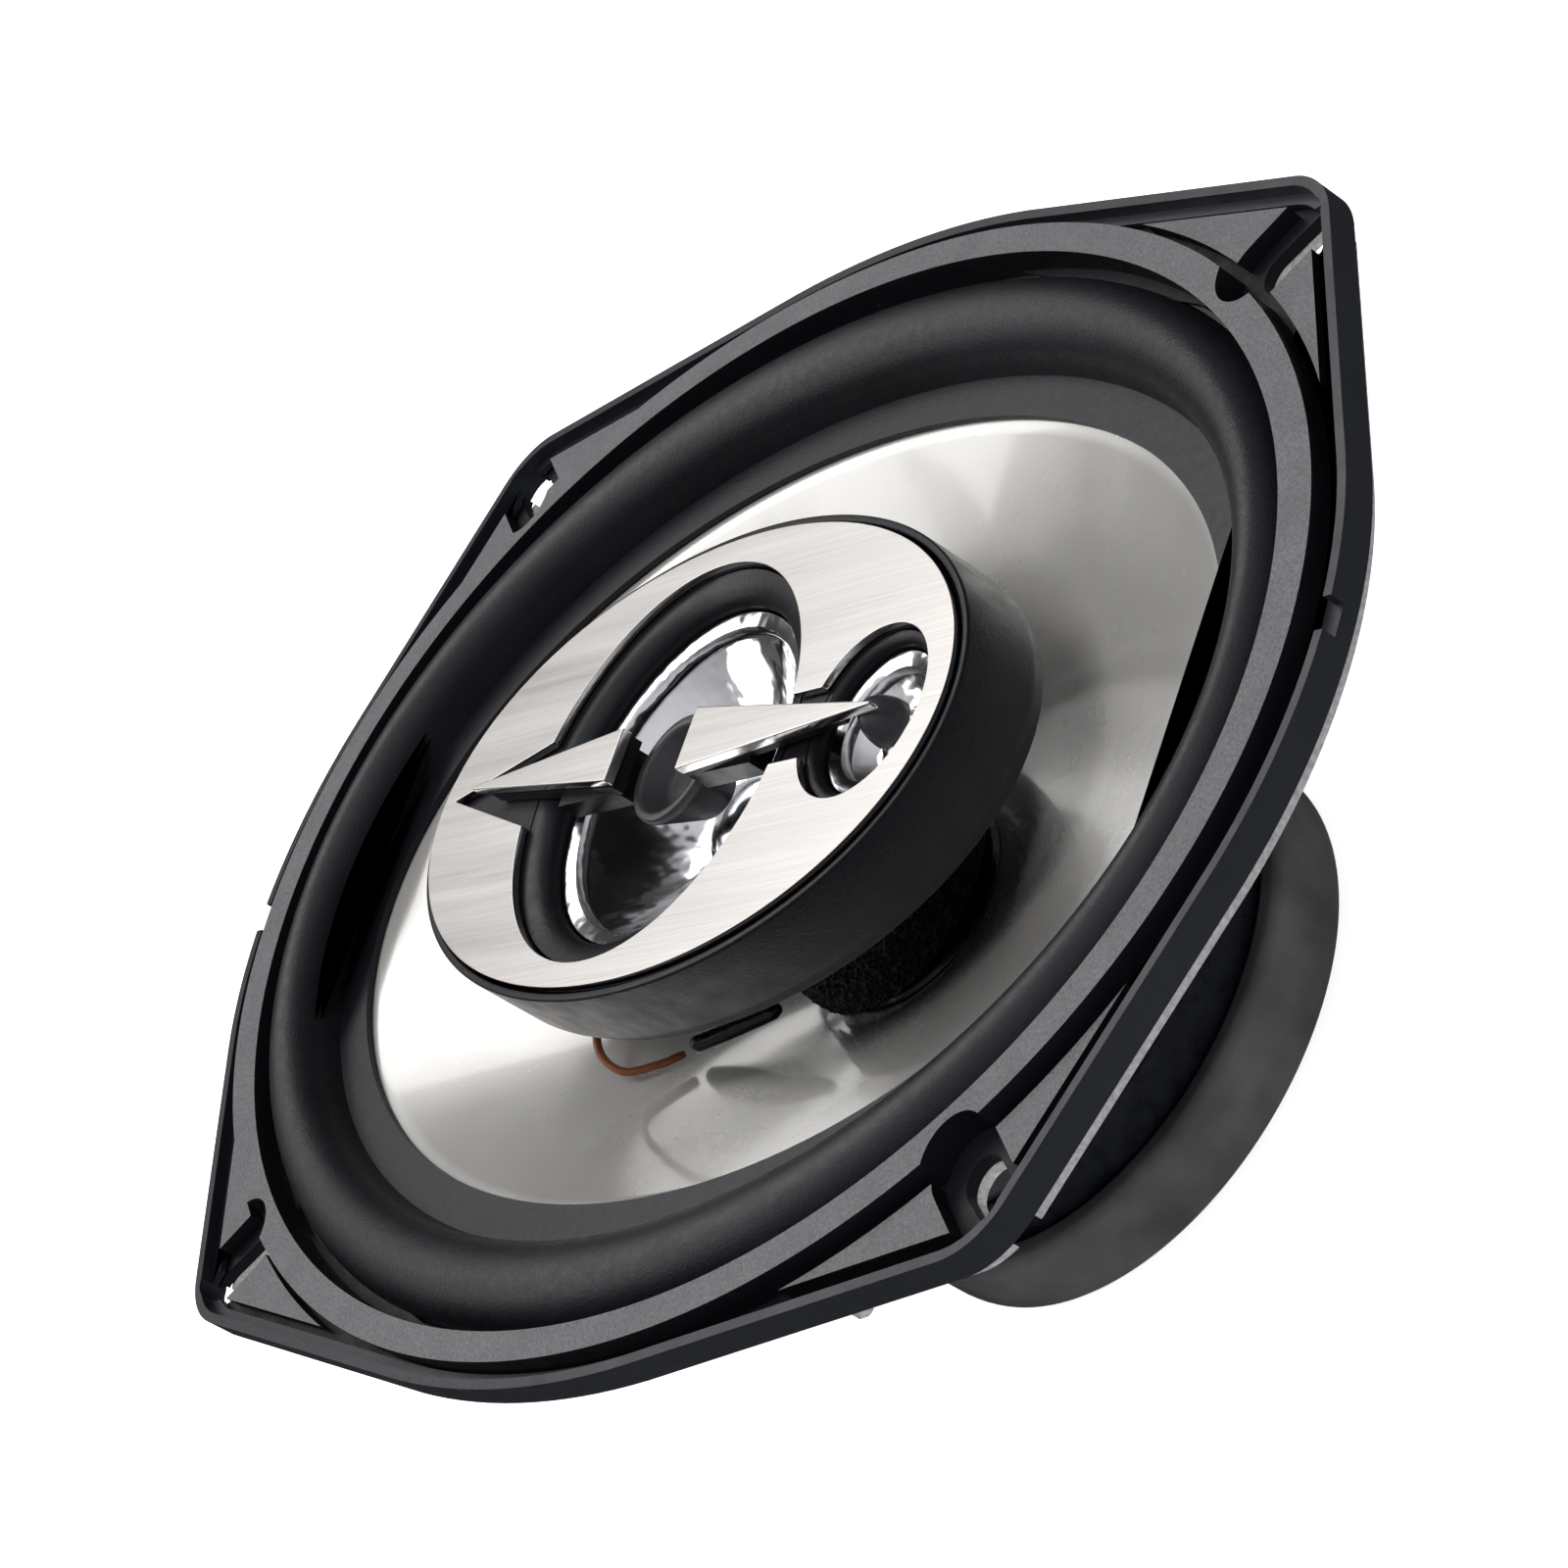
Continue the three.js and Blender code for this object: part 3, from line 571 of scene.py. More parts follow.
# Spider and voice coil: a pleated disc of resin treated cloth glued to the ledge and to an amber film
# tube, on which enamelled copper wire is wound.
spider_cloth, tree, shader, place = start_finish("resin_cloth", (0.4, 0.25, 0.1), 0.75)
weave_x = tree.nodes.new("ShaderNodeTexWave")
weave_x.inputs["Scale"].default_value = 420
weave_y = tree.nodes.new("ShaderNodeTexWave")
weave_y.bands_direction = "Y"
weave_y.inputs["Scale"].default_value = 420
for weave in (weave_x, weave_y):
    tree.links.new(place, weave.inputs["Vector"])
over = tree.nodes.new("ShaderNodeMath")
over.operation = "MAXIMUM"
tree.links.new(weave_x.outputs["Fac"], over.inputs[0])
tree.links.new(weave_y.outputs["Fac"], over.inputs[1])
tree.links.new(blend_colors(tree, over.outputs["Value"], (0.2, 0.11, 0.04), (0.5, 0.33, 0.14)),
               shader.inputs["Base Color"])
roughen(tree, shader, over.outputs["Value"], 0.0003, 0.6)

film, tree, shader, place = start_finish("amber_film", (0.35, 0.14, 0.02), 0.3)
tree.links.new(blend_colors(tree, grain(tree, place, 120), (0.28, 0.1, 0.015), (0.42, 0.18, 0.03)),
               shader.inputs["Base Color"])
dress_node("voice_coil_former", film)

copper, tree, shader, place = start_finish("enamelled_copper", (0.4, 0.13, 0.05), 0.3, 1.0)
windings = grain(tree, stretched(tree, place, (5, 5, 4000)), 1, 1)
tree.links.new(blend_colors(tree, windings, (0.25, 0.07, 0.025), (0.5, 0.18, 0.07)),
               shader.inputs["Base Color"])
roughen(tree, shader, windings, 0.0002, 0.5)
for node in ("voice_coil_winding", "tweeter_coil", "supertweeter_coil"):
    dress_node(node, copper)

spider_low, spider_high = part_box("spider")
spider_outer = spider_high.x / MM
spider_z = (spider_low.z + spider_high.z) / 2 / MM
pleats = 7
spider_top = [(13, spider_z + 0.25)]
for k in range(65):
    r = 15.5 + 18 * k / 64
    spider_top.append((r, spider_z + 0.25 - 0.9 * math.sin(2 * math.pi * pleats * k / 128)))
spider_top.append((spider_outer, spider_z + 0.25))
spider_section = [(r, r, z) for r, z in spider_top] + [(r, r, z - 0.5) for r, z in reversed(spider_top)]
spider = ring_piece("pleated_spider", spider_section, 128, crease=60)
dress(spider, spider_cloth)
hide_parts("spider")


def hang_between(piece, weight):
    """Bakes a piece's placement into its mesh and works out, for each point, a weight that gives 0 at the
    frame and 1 at the cone, because the ring is fixed all round its edge and not along a line. The weights
    are not stored or used."""
    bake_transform(piece)
    values = [weight(vertex.co / MM) for vertex in piece.data.vertices]


def eased_step(t):
    t = min(max(t, 0), 1)
    return t * t * (3 - 2 * t)


hang_between(spider, lambda p: 1 - eased_step((math.hypot(p.x, p.y) - 15) / 18))


# Cone: pearl grey mica-filled plastic with a clear glossy face, moulded as one flared oval. A bead of
# black glue holds it to the coil, and its flat edge is glued under the surround.
neck_radius, neck_z = 13.1, 37.5
edge_a, edge_b, edge_z = 92.0, 56.5, 67.4


def cone_row(t, drop=0.0):
    return [neck_radius + (edge_a - neck_radius) * t, neck_radius + (edge_b - neck_radius) * t,
            neck_z + (edge_z - neck_z) * t ** 0.85 - drop]


cone_finish, tree, shader, place = start_finish("pearl_cone", (0.6, 0.585, 0.56), 0.2, 0.45)
haze = grain(tree, place, 18, 3)
tree.links.new(blend_colors(tree, spread(tree, haze, 0, 1), (0.55, 0.535, 0.51), (0.66, 0.64, 0.61)),
               shader.inputs["Base Color"])
tree.links.new(spread(tree, grain(tree, place, 60), 0.22, 0.3), shader.inputs["Roughness"])
shader.inputs["Coat Weight"].default_value = 1.0
shader.inputs["Coat Roughness"].default_value = 0.07
roughen(tree, shader, grain(tree, place, 1400, 2), 0.00003, 0.15)

steps_along = 40
top_rows = [cone_row(t / steps_along) for t in range(steps_along + 1)]
bottom_rows = [cone_row(t / steps_along, 0.8) for t in range(steps_along, -1, -1)]
cone = ring_piece("pearl_cone_body", [
    *top_rows, [edge_a + 4, edge_b + 4, edge_z + 0.1], [edge_a + 4, edge_b + 4, edge_z - 0.7], *bottom_rows,
], 256)
dress(cone, cone_finish)
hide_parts("cone")
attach(cone, "cone_assembly")

glue_finish, tree, shader, place = start_finish("black_glue", (0.006, 0.006, 0.007), 0.25)
tree.links.new(spread(tree, grain(tree, place, 300), 0.16, 0.4), shader.inputs["Roughness"])
roughen(tree, shader, grain(tree, place, 220, 3), 0.001, 0.4)
neck_bead = ring_piece("neck_glue_bead", eased([
    [13.3, 13.3, 38.3], cone_row(0.01, -0.1), cone_row(0.03, -0.1), cone_row(0.065, -0.1),
    [17.1, 15.6, 41.2], [15.6, 14.8, 41.8], [13.3, 13.3, 42.0]], 0.3), 144)
dress(neck_bead, glue_finish)
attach(neck_bead, "cone_assembly")


# Surround: a half roll of butyl rubber. Its outer lip is glued to the flange behind the gasket and its
# inner lip to the cone, and it rolls as the cone moves.
surround_rubber, tree, shader, place = start_finish("butyl_rubber", (0.005, 0.005, 0.007), 0.4)
tree.links.new(blend_colors(tree, spread(tree, grain(tree, place, 40), 0, 1), (0.004, 0.004, 0.006),
                            (0.008, 0.008, 0.011)), shader.inputs["Base Color"])
tree.links.new(spread(tree, grain(tree, place, 700), 0.36, 0.48), shader.inputs["Roughness"])
shader.inputs["Specular IOR Level"].default_value = 0.45
roughen(tree, shader, grain(tree, place, 2500, 3), 0.00012, 0.5)

roll_a, roll_b, roll_z = 103.9, 70.0, 69.9


def surround_side(offset):
    rows = [[108.5, 77.6, 70.5 + offset], [108.2, 76.9, 70.5 + offset]]
    for k in range(29):
        angle = math.pi * (0.02 + 0.96 * k / 28)
        across, rise = math.cos(angle), math.sin(angle)
        rows.append([roll_a + (4.1 + offset) * across, roll_b + (6.1 + offset) * across,
                     roll_z + (6.3 + offset) * rise])
    rows += [[99, 63.1, 68.35 + offset], [95.8, 60.1, 68.35 + offset], [92.6, 57.1, 68.35 + offset]]
    return rows


surround_section = surround_side(0.45) + list(reversed(surround_side(-0.45)))
surround = ring_piece("rubber_surround", surround_section, 288, crease=70)
dress(surround, surround_rubber)
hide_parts("surround")


def surround_weight(p):
    """1 inside the roll, 0 outside it, measured between the two ovals."""
    inner = math.hypot(p.x / 99.3, p.y / 63.4) - 1
    outer = math.hypot(p.x / 107.9, p.y / 76.1) - 1
    return 1 - eased_step(inner / max(inner - outer, 1e-6))


hang_between(surround, surround_weight)


# Dust ring: open-cell black foam glued on the cone round the post, cut from sheet, so its skin is a
# mass of small pores, painted darker in their middles as shade and lighter on their walls as glints.
foam_finish, tree, shader, place = start_finish("open_cell_foam", (0.006, 0.006, 0.007), 0.6)
cells = tree.nodes.new("ShaderNodeTexVoronoi")
cells.inputs["Scale"].default_value = 1300
tree.links.new(place, cells.inputs["Vector"])
# Painted light: pore middles get a darker colour as shade in the pores, pore walls a lighter one as glints.
pore_shade_and_glints = spread(tree, cells.outputs["Distance"], 0, 1, 0.45, 0.8)
tree.links.new(blend_colors(tree, pore_shade_and_glints, (0.002, 0.002, 0.003), (0.035, 0.035, 0.038)),
               shader.inputs["Base Color"])
roughen(tree, shader, cells.outputs["Distance"], 0.0012, 1.0)

foam_section = eased([
    (9, 9, 42.2), (12.9, 12.9, 42.3), (18.2, 18.2, 43.0), (18.1, 18.1, 46), (17.6, 17.6, 49), (9, 9, 49),
], 0.8, 6)
dense_section = []
for i, row in enumerate(foam_section):
    after = foam_section[(i + 1) % len(foam_section)]
    cuts = max(1, int((after - row).length / 0.7))
    dense_section += [row + (after - row) * k / cuts for k in range(cuts)]
foam = ring_piece("foam_dust_ring", dense_section, 300)
pores = bpy.data.textures.new("pores", "CLOUDS")
pores.noise_scale = 0.9 * MM
displace = foam.modifiers.new("pores", "DISPLACE")
displace.texture = pores
displace.texture_coords = "LOCAL"
displace.strength = 0.9 * MM
displace.mid_level = 0.75
settle(foam)
smooth(foam, 80)
dress(foam, foam_finish)
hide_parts("dust_foam_ring")
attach(foam, "cone_assembly")


# Rim ring: a black satin moulding that frames the gasket. A lip on its inside clamps the gasket to the
# flange, and its thin wall has a notch at each end of the oval.
rim_plastic, tree, shader, place = start_finish("rim_moulding", (0.009, 0.010, 0.014), 0.38)
tree.links.new(spread(tree, grain(tree, place, 220), 0.32, 0.46), shader.inputs["Roughness"])
tree.links.new(blend_colors(tree, grain(tree, place, 30), (0.006, 0.007, 0.010), (0.013, 0.015, 0.020)),
               shader.inputs["Base Color"])
roughen(tree, shader, grain(tree, place, 1800, 3), 0.0001, 0.4)

wall_low, wall_high, wall_thickness, lip_low, lip_high = rim_low.z / MM, rim_high.z / MM, 1.4, 71.8, 72.8
rim = banded("rim_moulding", rim_points(0), rim_points(wall_thickness), wall_low, wall_high)
combine(rim, banded("lip", rim_points(0.7), rim_points(2.9), lip_low, lip_high), "UNION")
for way in (1, -1):
    notch = [(way * (120 + sx * 6), way * (5 + sy * 2.25)) for sx, sy in ((-1, -1), (1, -1), (1, 1), (-1, 1))]
    combine(rim, prism("notch", notch, lip_high, wall_high + 1))
for sides in corners:
    combine(rim, prism("slot", slot_points(*screw_slot, sides), 60, 75))
soften(rim, 0.3)
dress(rim, rim_plastic)
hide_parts("rim_ring")
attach(rim, "frame")


# Front gasket: one black moulded ring with a raised oval band and four ear pads, whose flat upward faces
# are painted a lighter grey as a painted highlight, speckled by its grain. A keyhole for the screw opens
# through each ear.
gasket_black, tree, shader, place = start_finish("gasket_side", (0.005, 0.005, 0.007), 0.5)
tree.links.new(spread(tree, grain(tree, place, 300), 0.4, 0.6), shader.inputs["Roughness"])
shader.inputs["Specular IOR Level"].default_value = 0.25
roughen(tree, shader, grain(tree, place, 1500, 3), 0.0001, 0.5)

# Painted highlight: the black ring's upward faces are coloured a lighter grey for the light they catch,
# speckled by its grain.
gasket_painted_lit_top, tree, shader, place = start_finish("gasket_top_painted_highlight", (0.17, 0.17, 0.175), 0.7)
speckle = grain(tree, place, 2200, 4, 0.7)
cloudy = grain(tree, place, 120, 3)
both = tree.nodes.new("ShaderNodeMath")
both.operation = "MULTIPLY"
tree.links.new(spread(tree, speckle, 0.2, 1.0, 0.32, 0.68), both.inputs[0])
tree.links.new(spread(tree, cloudy, 0.75, 1.0), both.inputs[1])
tree.links.new(blend_colors(tree, both.outputs["Value"], (0.05, 0.05, 0.054), (0.2, 0.2, 0.205)),
               shader.inputs["Base Color"])
tree.links.new(spread(tree, speckle, 0.5, 0.8), shader.inputs["Roughness"])
roughen(tree, shader, speckle, 0.0003, 0.5)

hole_a, hole_b, band_a, band_b = 108.9, 78.1, 114.5, 82.3
base_low, skin_z, pad_z, front_z = 70.0, 71.5, 74.0, face_z / MM
keyhole = (82.8, 60, 5.6, 24, 0.72)
oval_in = [(hole_a * math.cos(t), hole_b * math.sin(t)) for t in
           (math.atan2(y / hole_b, x / hole_a) for x, y in rim_points(2.6))]
gasket = banded("printed_gasket", rim_points(1.7), oval_in, base_low, skin_z)
combine(gasket, banded("band", oval_points(band_a, band_b, steps=240), oval_points(hole_a, hole_b, steps=240),
                       base_low, front_z), "UNION")
pads = prism("pads", rim_points(4), base_low, pad_z)
combine(pads, prism("inside", oval_points(band_a + 1.6, band_b + 1.6, steps=240), 60, 80))
combine(gasket, pads, "UNION")
for sides in corners:
    combine(gasket, prism("keyhole", slot_points(*keyhole, sides), skin_z, 80))
    combine(gasket, prism("slot", slot_points(*screw_slot, sides), 65, 80))
soften(gasket, 0.4, 3)
dress(gasket, gasket_black, gasket_painted_lit_top)
# Faces that look up at the pads' height take the lighter grey, a painted highlight on the tops.
for face in gasket.data.polygons:
    face.material_index = 1 if face.normal.z > 0.75 and face.center.z > (pad_z - 0.7) * MM else 0
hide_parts("front_gasket")
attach(gasket, "frame")


# Pod: a satin black moulding on a hollow post, bolted through the pole. The shell is round at the
# post and oval at the face, and an inner deck holds both tweeters.
pod_plastic, tree, shader, place = start_finish("pod_moulding", (0.005, 0.005, 0.007), 0.36)
tree.links.new(spread(tree, grain(tree, place, 250), 0.3, 0.44), shader.inputs["Roughness"])
tree.links.new(blend_colors(tree, grain(tree, place, 40), (0.004, 0.004, 0.006), (0.008, 0.008, 0.010)),
               shader.inputs["Base Color"])
shader.inputs["Specular IOR Level"].default_value = 0.3
roughen(tree, shader, grain(tree, place, 1600, 3), 0.00012, 0.4)
dress_node("tweeter_post", pod_plastic)

pod_low, pod_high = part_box("pod_shell")
pod_x = (pod_low.x + pod_high.x) / 2 / MM
pod_a = (pod_high.x - pod_low.x) / 2 / MM
pod_b = (pod_high.y - pod_low.y) / 2 / MM
pod_top = pod_high.z / MM
foot, shoulder, wall = 54.5, 70.5, 1.2


def pod_row(shrink, z):
    return [pod_a - shrink, pod_b - shrink, z, pod_x]


foot_row, hip_row = [15, 14.5, foot + 2, 0.3], pod_row(4, shoulder - 2.6)
pod_shell = ring_piece("pod_housing", eased([
    [2.6, 2.6, foot], [13, 13, foot], foot_row, *slope(foot_row, hip_row, 8), hip_row,
    pod_row(0.8, shoulder - 1.2), pod_row(0, shoulder + 1), pod_row(0, pod_top),
    pod_row(wall, pod_top), pod_row(wall, shoulder + 1), pod_row(6, shoulder),
    [13.4, 13, foot + 3.6, 0.3], [11.5, 11.5, foot + 1.8], [2.6, 2.6, foot + 1.8],
], 0.5), 256)
dress(pod_shell, pod_plastic)
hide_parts("pod_shell")
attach(pod_shell, "frame")

face_low, face_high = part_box("face_plate")
plate_low, plate_top = face_low.z / MM, face_high.z / MM
face_a = (face_high.x - face_low.x) / 2 / MM
face_b = (face_high.y - face_low.y) / 2 / MM
units = {
    "tweeter": {
        "x": -3, "recess": 29.5, "mouth": 24.2, "throat": 7.7, "mouth_z": 78.6, "throat_z": 66.9},
    "supertweeter": {
        "x": 43.5, "recess": 12.2, "mouth": 9.6, "throat": 4.7, "mouth_z": 80.2, "throat_z": 75.8},
}
deck = prism("pod_inner_deck", oval_points(face_a - 0.1, face_b - 0.1, pod_x), 80.4, 81.9)
for unit in units.values():
    bore_radius = unit["recess"] + 0.1
    combine(deck, prism("bore", oval_points(bore_radius, bore_radius, unit["x"], 120), 75, 90))
soften(deck, 0.2)
dress(deck, pod_plastic)
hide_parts("pod_deck")
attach(deck, "frame")


# Tweeters: each sits in a black collar with a rolled edge. A chrome horn leads down to a small dome
# of metallised film, which moves by a fraction of a millimetre.
chrome, tree, shader, place = start_finish("chrome_plate", (0.9, 0.9, 0.91), 0.05, 1.0)
tree.links.new(spread(tree, grain(tree, place, 90), 0.08, 0.16), shader.inputs["Roughness"])
roughen(tree, shader, grain(tree, place, 160, 2), 0.0012, 0.28)

dome_film, tree, shader, place = start_finish("metallised_film", (0.7, 0.71, 0.73), 0.14, 1.0)
tree.links.new(spread(tree, grain(tree, place, 500), 0.1, 0.22), shader.inputs["Roughness"])
roughen(tree, shader, grain(tree, place, 400), 0.0001, 0.3)

for name, unit in units.items():
    recess, mouth, mouth_z = unit["recess"], unit["mouth"], unit["mouth_z"]
    throat, throat_z, x = unit["throat"], unit["throat_z"], unit["x"]
    rolled = []
    for k in range(13):
        angle = math.pi / 2 * k / 12
        rolled.append((recess - 0.5 - (recess - mouth - 1.3) * math.sin(angle),
                       mouth_z + 0.4 + (plate_low - 0.3 - mouth_z - 0.4) * math.cos(angle)))
    collar = turned_piece(f"{name}_rolled_collar", [
        *rolled, (mouth + 0.9, mouth_z - 1.5), (recess - 0.3, mouth_z - 1.5), (recess - 0.3, plate_low - 0.3),
    ], x, steps=144)
    dress(collar, pod_plastic)
    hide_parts(f"{name}_collar")
    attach(collar, "frame")

    flare = []
    for k in range(25):
        t = k / 24
        flare.append((throat + (mouth - 1.6 - throat) * t ** 0.7, throat_z + (mouth_z - 2.2 - throat_z) * t))
    dish = [*flare, (mouth - 1.5, mouth_z - 0.6), (mouth - 0.2, mouth_z - 0.1), (mouth + 0.4, mouth_z - 0.1)]
    under = [(r + 0.5, z - 0.6) for r, z in reversed(dish[:-2])]
    horn_section = [*dish, (mouth + 0.4, mouth_z - 0.7), *under]
    horn = turned_piece(f"{name}_chrome_horn", horn_section, x, steps=144, crease=50)
    dress(horn, chrome)
    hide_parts(f"{name}_horn")
    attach(horn, "frame")

    low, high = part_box(f"{name}_dome")
    radius, rise = (high.x - low.x) / 2 / MM, (high.z - low.z) / MM
    cap = [(radius * math.sin(math.pi / 2 * k / 16), low.z / MM + rise * math.cos(math.pi / 2 * k / 16))
           for k in range(17)]
    inside = [(r * 0.93, z - 0.25 * (1 - k / 17)) for k, (r, z) in enumerate(cap)][::-1]
    film_cap = turned_piece(f"{name}_film_dome", cap + inside, x, steps=72, crease=50)
    dress(film_cap, dome_film)
    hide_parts(f"{name}_dome")
    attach(film_cap, f"{name}_diaphragm")


# Face plate: aluminium sheet brushed along its length and clear coated, then cut and chamfered bright
# at its edges. A wedge and a neck are cut out for the bridge.
brushed, tree, shader, place = start_finish("brushed_face", (0.8, 0.765, 0.735), 0.28, 1.0)
strokes = grain(tree, stretched(tree, place, (40, 4200, 4200)), 1, 4, 0.6)
wide_strokes = grain(tree, stretched(tree, place, (8, 260, 260)), 1, 3)
tree.links.new(blend_colors(tree, spread(tree, strokes, 0, 1), (0.70, 0.665, 0.635), (0.85, 0.815, 0.785)),
               shader.inputs["Base Color"])
tree.links.new(spread(tree, wide_strokes, 0.28, 0.38), shader.inputs["Roughness"])
shader.inputs["Coat Weight"].default_value = 0.3
shader.inputs["Coat Roughness"].default_value = 0.12
roughen(tree, shader, strokes, 0.00003, 0.25)

bright_edge, tree, shader, place = start_finish("diamond_cut_edge", (0.9, 0.89, 0.87), 0.12, 1.0)
tree.links.new(spread(tree, grain(tree, place, 900), 0.08, 0.2), shader.inputs["Roughness"])

plate = prism("brushed_face_plate", oval_points(face_a, face_b, pod_x, 240), plate_low, plate_top)
for unit in units.values():
    combine(plate, prism("bore", oval_points(unit["recess"], unit["recess"], unit["x"], 144), 75, 90))
combine(plate, prism("wedge", [(-53.5, 1), (-28, -7), (-28, 8)], 75, 90))
combine(plate, prism("neck", [(23, -5), (35, -5), (35, 5), (23, 5)], 75, 90))
soften(plate, 0.28, 2)
dress(plate, brushed, bright_edge)
for face in plate.data.polygons:
    face.material_index = 0 if face.normal.z > 0.9 else 1
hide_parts("face_plate")
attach(plate, "frame")


# Bridge: two black spears that cross the horn and hold the phase plug, each capped by a brushed blade
# with a bright bevel.
def blade_outline(root, tip, low_y, high_y, tip_y, blunt):
    return [(root, low_y), (tip, tip_y - blunt), (tip, tip_y + blunt), (root, high_y)]


bridge_parts = {
    "bridge_left": ((-9.5, -42, -3.6, 4.2, 0.5, 0.5), (-25, -10.6)),
    "bridge_right": ((8, 40, -3.6, 4.0, 0, 0.8), (6.4, 20)),
}
for node, (outline, (web_from, web_to)) in bridge_parts.items():
    spear = prism(f"{node}_spear", blade_outline(*outline), 82.3, 84.15)
    web = [(web_from, -3.5), (web_to, -3.5), (web_to, 3.5), (web_from, 3.5)]
    combine(spear, prism("web", web, 79.4, 82.7), "UNION")
    soften(spear, 0.35, 3)
    dress(spear, pod_plastic)
    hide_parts(node)
    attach(spear, "frame")
blade_parts = {
    "blade_left": (-9, -45, -3.6, 4.4, 0.5, 0.2),
    "blade_right": (8, 49, -4.4, 4.8, -1.2, 0.2),
}
blade_low, blade_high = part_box("blade_left")
for node, outline in blade_parts.items():
    blade = prism(f"{node}_cap", blade_outline(*outline), blade_low.z / MM, blade_high.z / MM)
    soften(blade, 0.4, 2)
    dress(blade, brushed, bright_edge)
    for face in blade.data.polygons:
        face.material_index = 0 if face.normal.z > 0.9 else 1
    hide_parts(node)
    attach(blade, "frame")


# Plugs: the phase plug is a black cup on the horn's axis, and the small tweeter has a black bullet at
# the end of the right blade.
plug_grey, tree, shader, place = start_finish("plug_moulding", (0.03, 0.03, 0.033), 0.35)
tree.links.new(spread(tree, grain(tree, place, 260), 0.26, 0.42), shader.inputs["Roughness"])
roughen(tree, shader, grain(tree, place, 1300, 3), 0.0001, 0.4)
plug = turned_piece("phase_plug_cup", [
    (0, 72), (3.4, 72.6), (5.6, 76), (8, 79.8), (8, 81), (6.6, 81), (4.6, 77.5), (0, 76),
], -2, 0.6, 96)
dress(plug, plug_grey)
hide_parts("phase_plug")
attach(plug, "frame")

bullet_low, bullet_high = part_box("supertweeter_plug")
bullet_x = (bullet_low.x + bullet_high.x) / 2 / MM
bullet_r = (bullet_high.x - bullet_low.x) / 2 / MM
bullet_z0, bullet_z1 = bullet_low.z / MM, bullet_high.z / MM
nose = []
for k in range(13):
    angle = math.pi / 2 * k / 12
    nose.append((bullet_r * math.cos(angle), bullet_z0 + (bullet_z1 - bullet_z0) * math.sin(angle)))
bullet = turned_piece("supertweeter_bullet", [(0, bullet_z0), *nose], bullet_x, steps=72)
dress(bullet, plug_grey)
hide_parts("supertweeter_plug")
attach(bullet, "frame")


# Crossover capacitors: two shrink-sleeved cans lying inside the pod.
sleeve_finish, tree, shader, place = start_finish("shrink_sleeve", (0.02, 0.02, 0.03), 0.3)
tree.links.new(spread(tree, grain(tree, place, 400), 0.22, 0.4), shader.inputs["Roughness"])
for node in ("capacitor_tweeter", "capacitor_supertweeter"):
    dress_node(node, sleeve_finish)


# Leads: a lacquered copper lead loops from the pod to a black sleeve glued on the cone, and two braided
# tinsel leads join the terminals to the back of the cone.
def smooth_route(points, count):
    """Points along a smooth curve through the given ones."""
    route = [Vector(p) for p in points]
    result = []
    spans = len(route) - 1
    for k in range(count + 1):
        t = k / count * spans
        i = min(int(t), spans - 1)
        u = t - i
        p0, p1 = route[max(i - 1, 0)], route[i]
        p2, p3 = route[i + 1], route[min(i + 2, spans)]
        result.append(0.5 * ((2 * p1) + (p2 - p0) * u + (2 * p0 - 5 * p1 + 4 * p2 - p3) * u * u
                             + (3 * p1 - p0 - 3 * p2 + p3) * u ** 3))
    return result


def round_lead(name, route, radius, sides=16, taper=0.0):
    """A round lead along a route, with flat ends, narrowed near each end by taper."""
    count = len(route)
    points, faces = [], []
    normal = Vector((0, 0, 1)).cross(route[1] - route[0]).normalized()
    for j, here in enumerate(route):
        tangent = (route[min(j + 1, count - 1)] - route[max(j - 1, 0)]).normalized()
        normal = (normal - tangent * normal.dot(tangent)).normalized()
        side = tangent.cross(normal)
        near_end = min(j, count - 1 - j)
        size = radius * (1 - taper * max(0, 1 - near_end / 3))
        for i in range(sides):
            angle = 2 * math.pi * i / sides
            points.append(here + (normal * math.cos(angle) + side * math.sin(angle)) * size)
    for j in range(count - 1):
        for i in range(sides):
            n = (i + 1) % sides
            faces.append((j * sides + i, j * sides + n, (j + 1) * sides + n, (j + 1) * sides + i))
    faces.append(tuple(range(sides)))
    faces.append(tuple(range((count - 1) * sides, count * sides)))
    return new_piece(name, points, faces, 60)


lacquer, tree, shader, place = start_finish("lacquered_lead", (0.2, 0.07, 0.03), 0.35, 0.3)
tree.links.new(blend_colors(tree, grain(tree, place, 500), (0.12, 0.035, 0.015), (0.28, 0.1, 0.045)),
               shader.inputs["Base Color"])
roughen(tree, shader, grain(tree, place, 1500), 0.0001, 0.4)
lead_route = smooth_route([(-26, -15.5, 60.6), (-31, -24, 62), (-30.5, -29, 61), (-27, -31.2, 58.5),
                           (-23.5, -29, 55.5), (-21.5, -26.5, 53.4)], 60)
lead = round_lead("pod_lead", lead_route, 0.6, taper=0.3)
dress(lead, lacquer)
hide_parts("tweeter_lead")
hang_between(lead, lambda p: eased_step((61 - p.z) / 7) * eased_step((-p.y - 20) / 6))

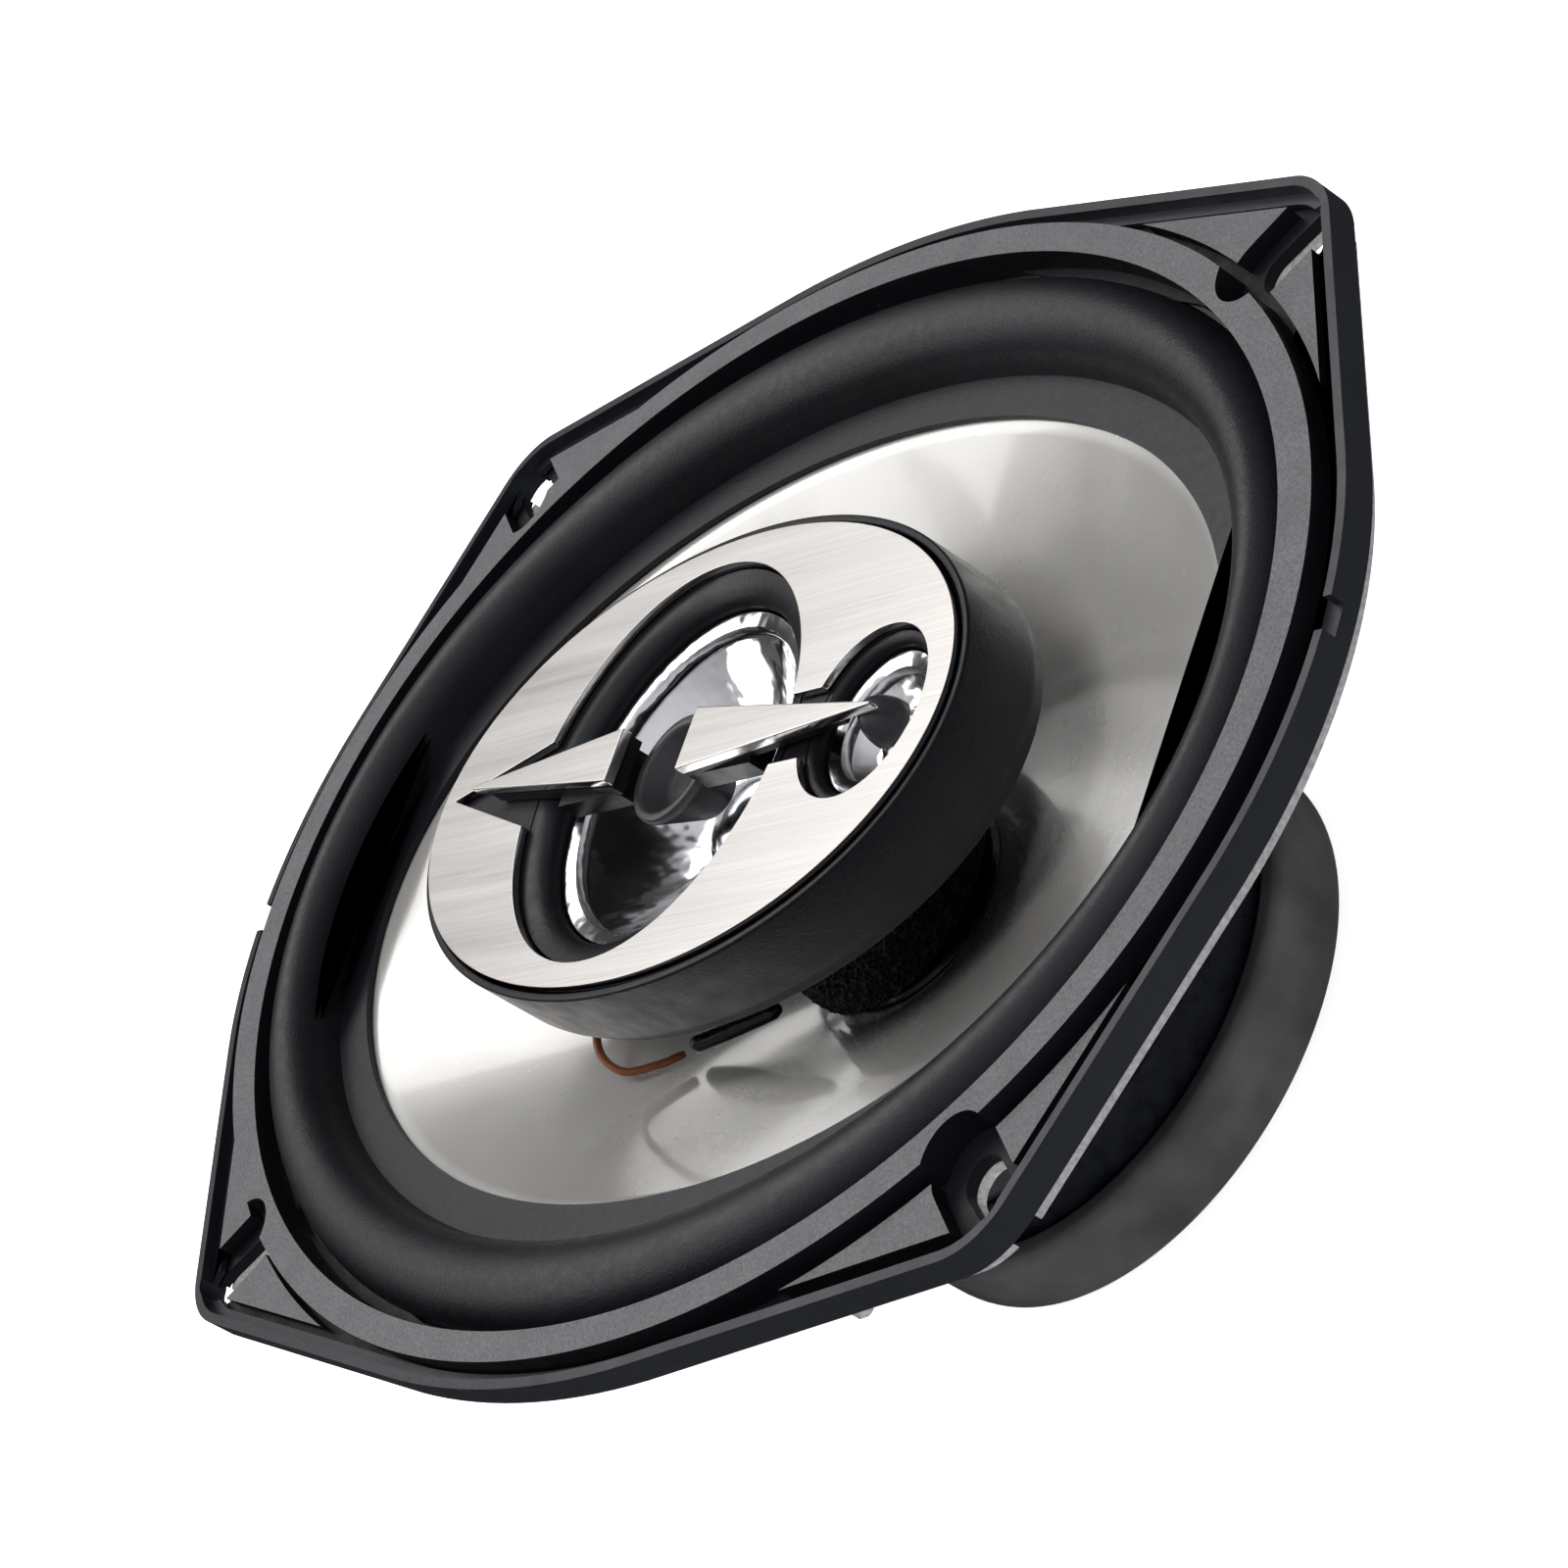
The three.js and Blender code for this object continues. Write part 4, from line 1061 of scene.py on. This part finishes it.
sleeve_route = smooth_route([(-21, -25.2, 53.1), (-15, -22.5, 51.4), (-8, -19.3, 49.8)], 30)
lead_sleeve = round_lead("glued_lead_sleeve", sleeve_route, 1.2, taper=0.45)
dress(lead_sleeve, glue_finish)
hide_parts("lead_sleeve")
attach(lead_sleeve, "cone_assembly")

braid, tree, shader, place = start_finish("tinsel_braid", (0.5, 0.3, 0.16), 0.35, 0.9)
twist = grain(tree, place, 2600, 2)
tree.links.new(blend_colors(tree, spread(tree, twist, 0, 1), (0.25, 0.12, 0.05), (0.62, 0.4, 0.22)),
               shader.inputs["Base Color"])
roughen(tree, shader, twist, 0.0003, 0.7)
for name, side in (("positive", 1), ("negative", -1)):
    route = smooth_route([(side * 5.5, 51, 32.4), (side * 6.5, 52, 36.5), (side * 8, 48, 42),
                          (side * 9, 40, 45.5), (side * 9, 32, 50)], 60)
    tinsel = round_lead(f"tinsel_{name}", route, 0.6)
    dress(tinsel, braid)
    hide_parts(f"tinsel_lead_{name}")
    hang_between(tinsel, lambda p: eased_step((p.z - 33) / 16))


# Terminals: a brown laminate board riveted under the bracket, with a wide and a narrow brass blade.
laminate, tree, shader, place = start_finish("brown_laminate", (0.17, 0.07, 0.025), 0.45)
paper = grain(tree, stretched(tree, place, (300, 60, 900)), 1, 4)
tree.links.new(blend_colors(tree, spread(tree, paper, 0, 1), (0.11, 0.04, 0.015), (0.22, 0.09, 0.035)),
               shader.inputs["Base Color"])
roughen(tree, shader, paper, 0.0001, 0.3)
dress_node("terminal_board", laminate)
brass, tree, shader, place = start_finish("plated_brass", (0.7, 0.56, 0.28), 0.25, 1.0)
tree.links.new(spread(tree, grain(tree, place, 300), 0.18, 0.36), shader.inputs["Roughness"])
tree.links.new(blend_colors(tree, grain(tree, place, 80), (0.6, 0.46, 0.22), (0.78, 0.65, 0.36)),
               shader.inputs["Base Color"])
for name in ("positive", "negative"):
    dress_node(f"terminal_{name}", brass)
    dress_node(f"terminal_rivet_{name}", brass)
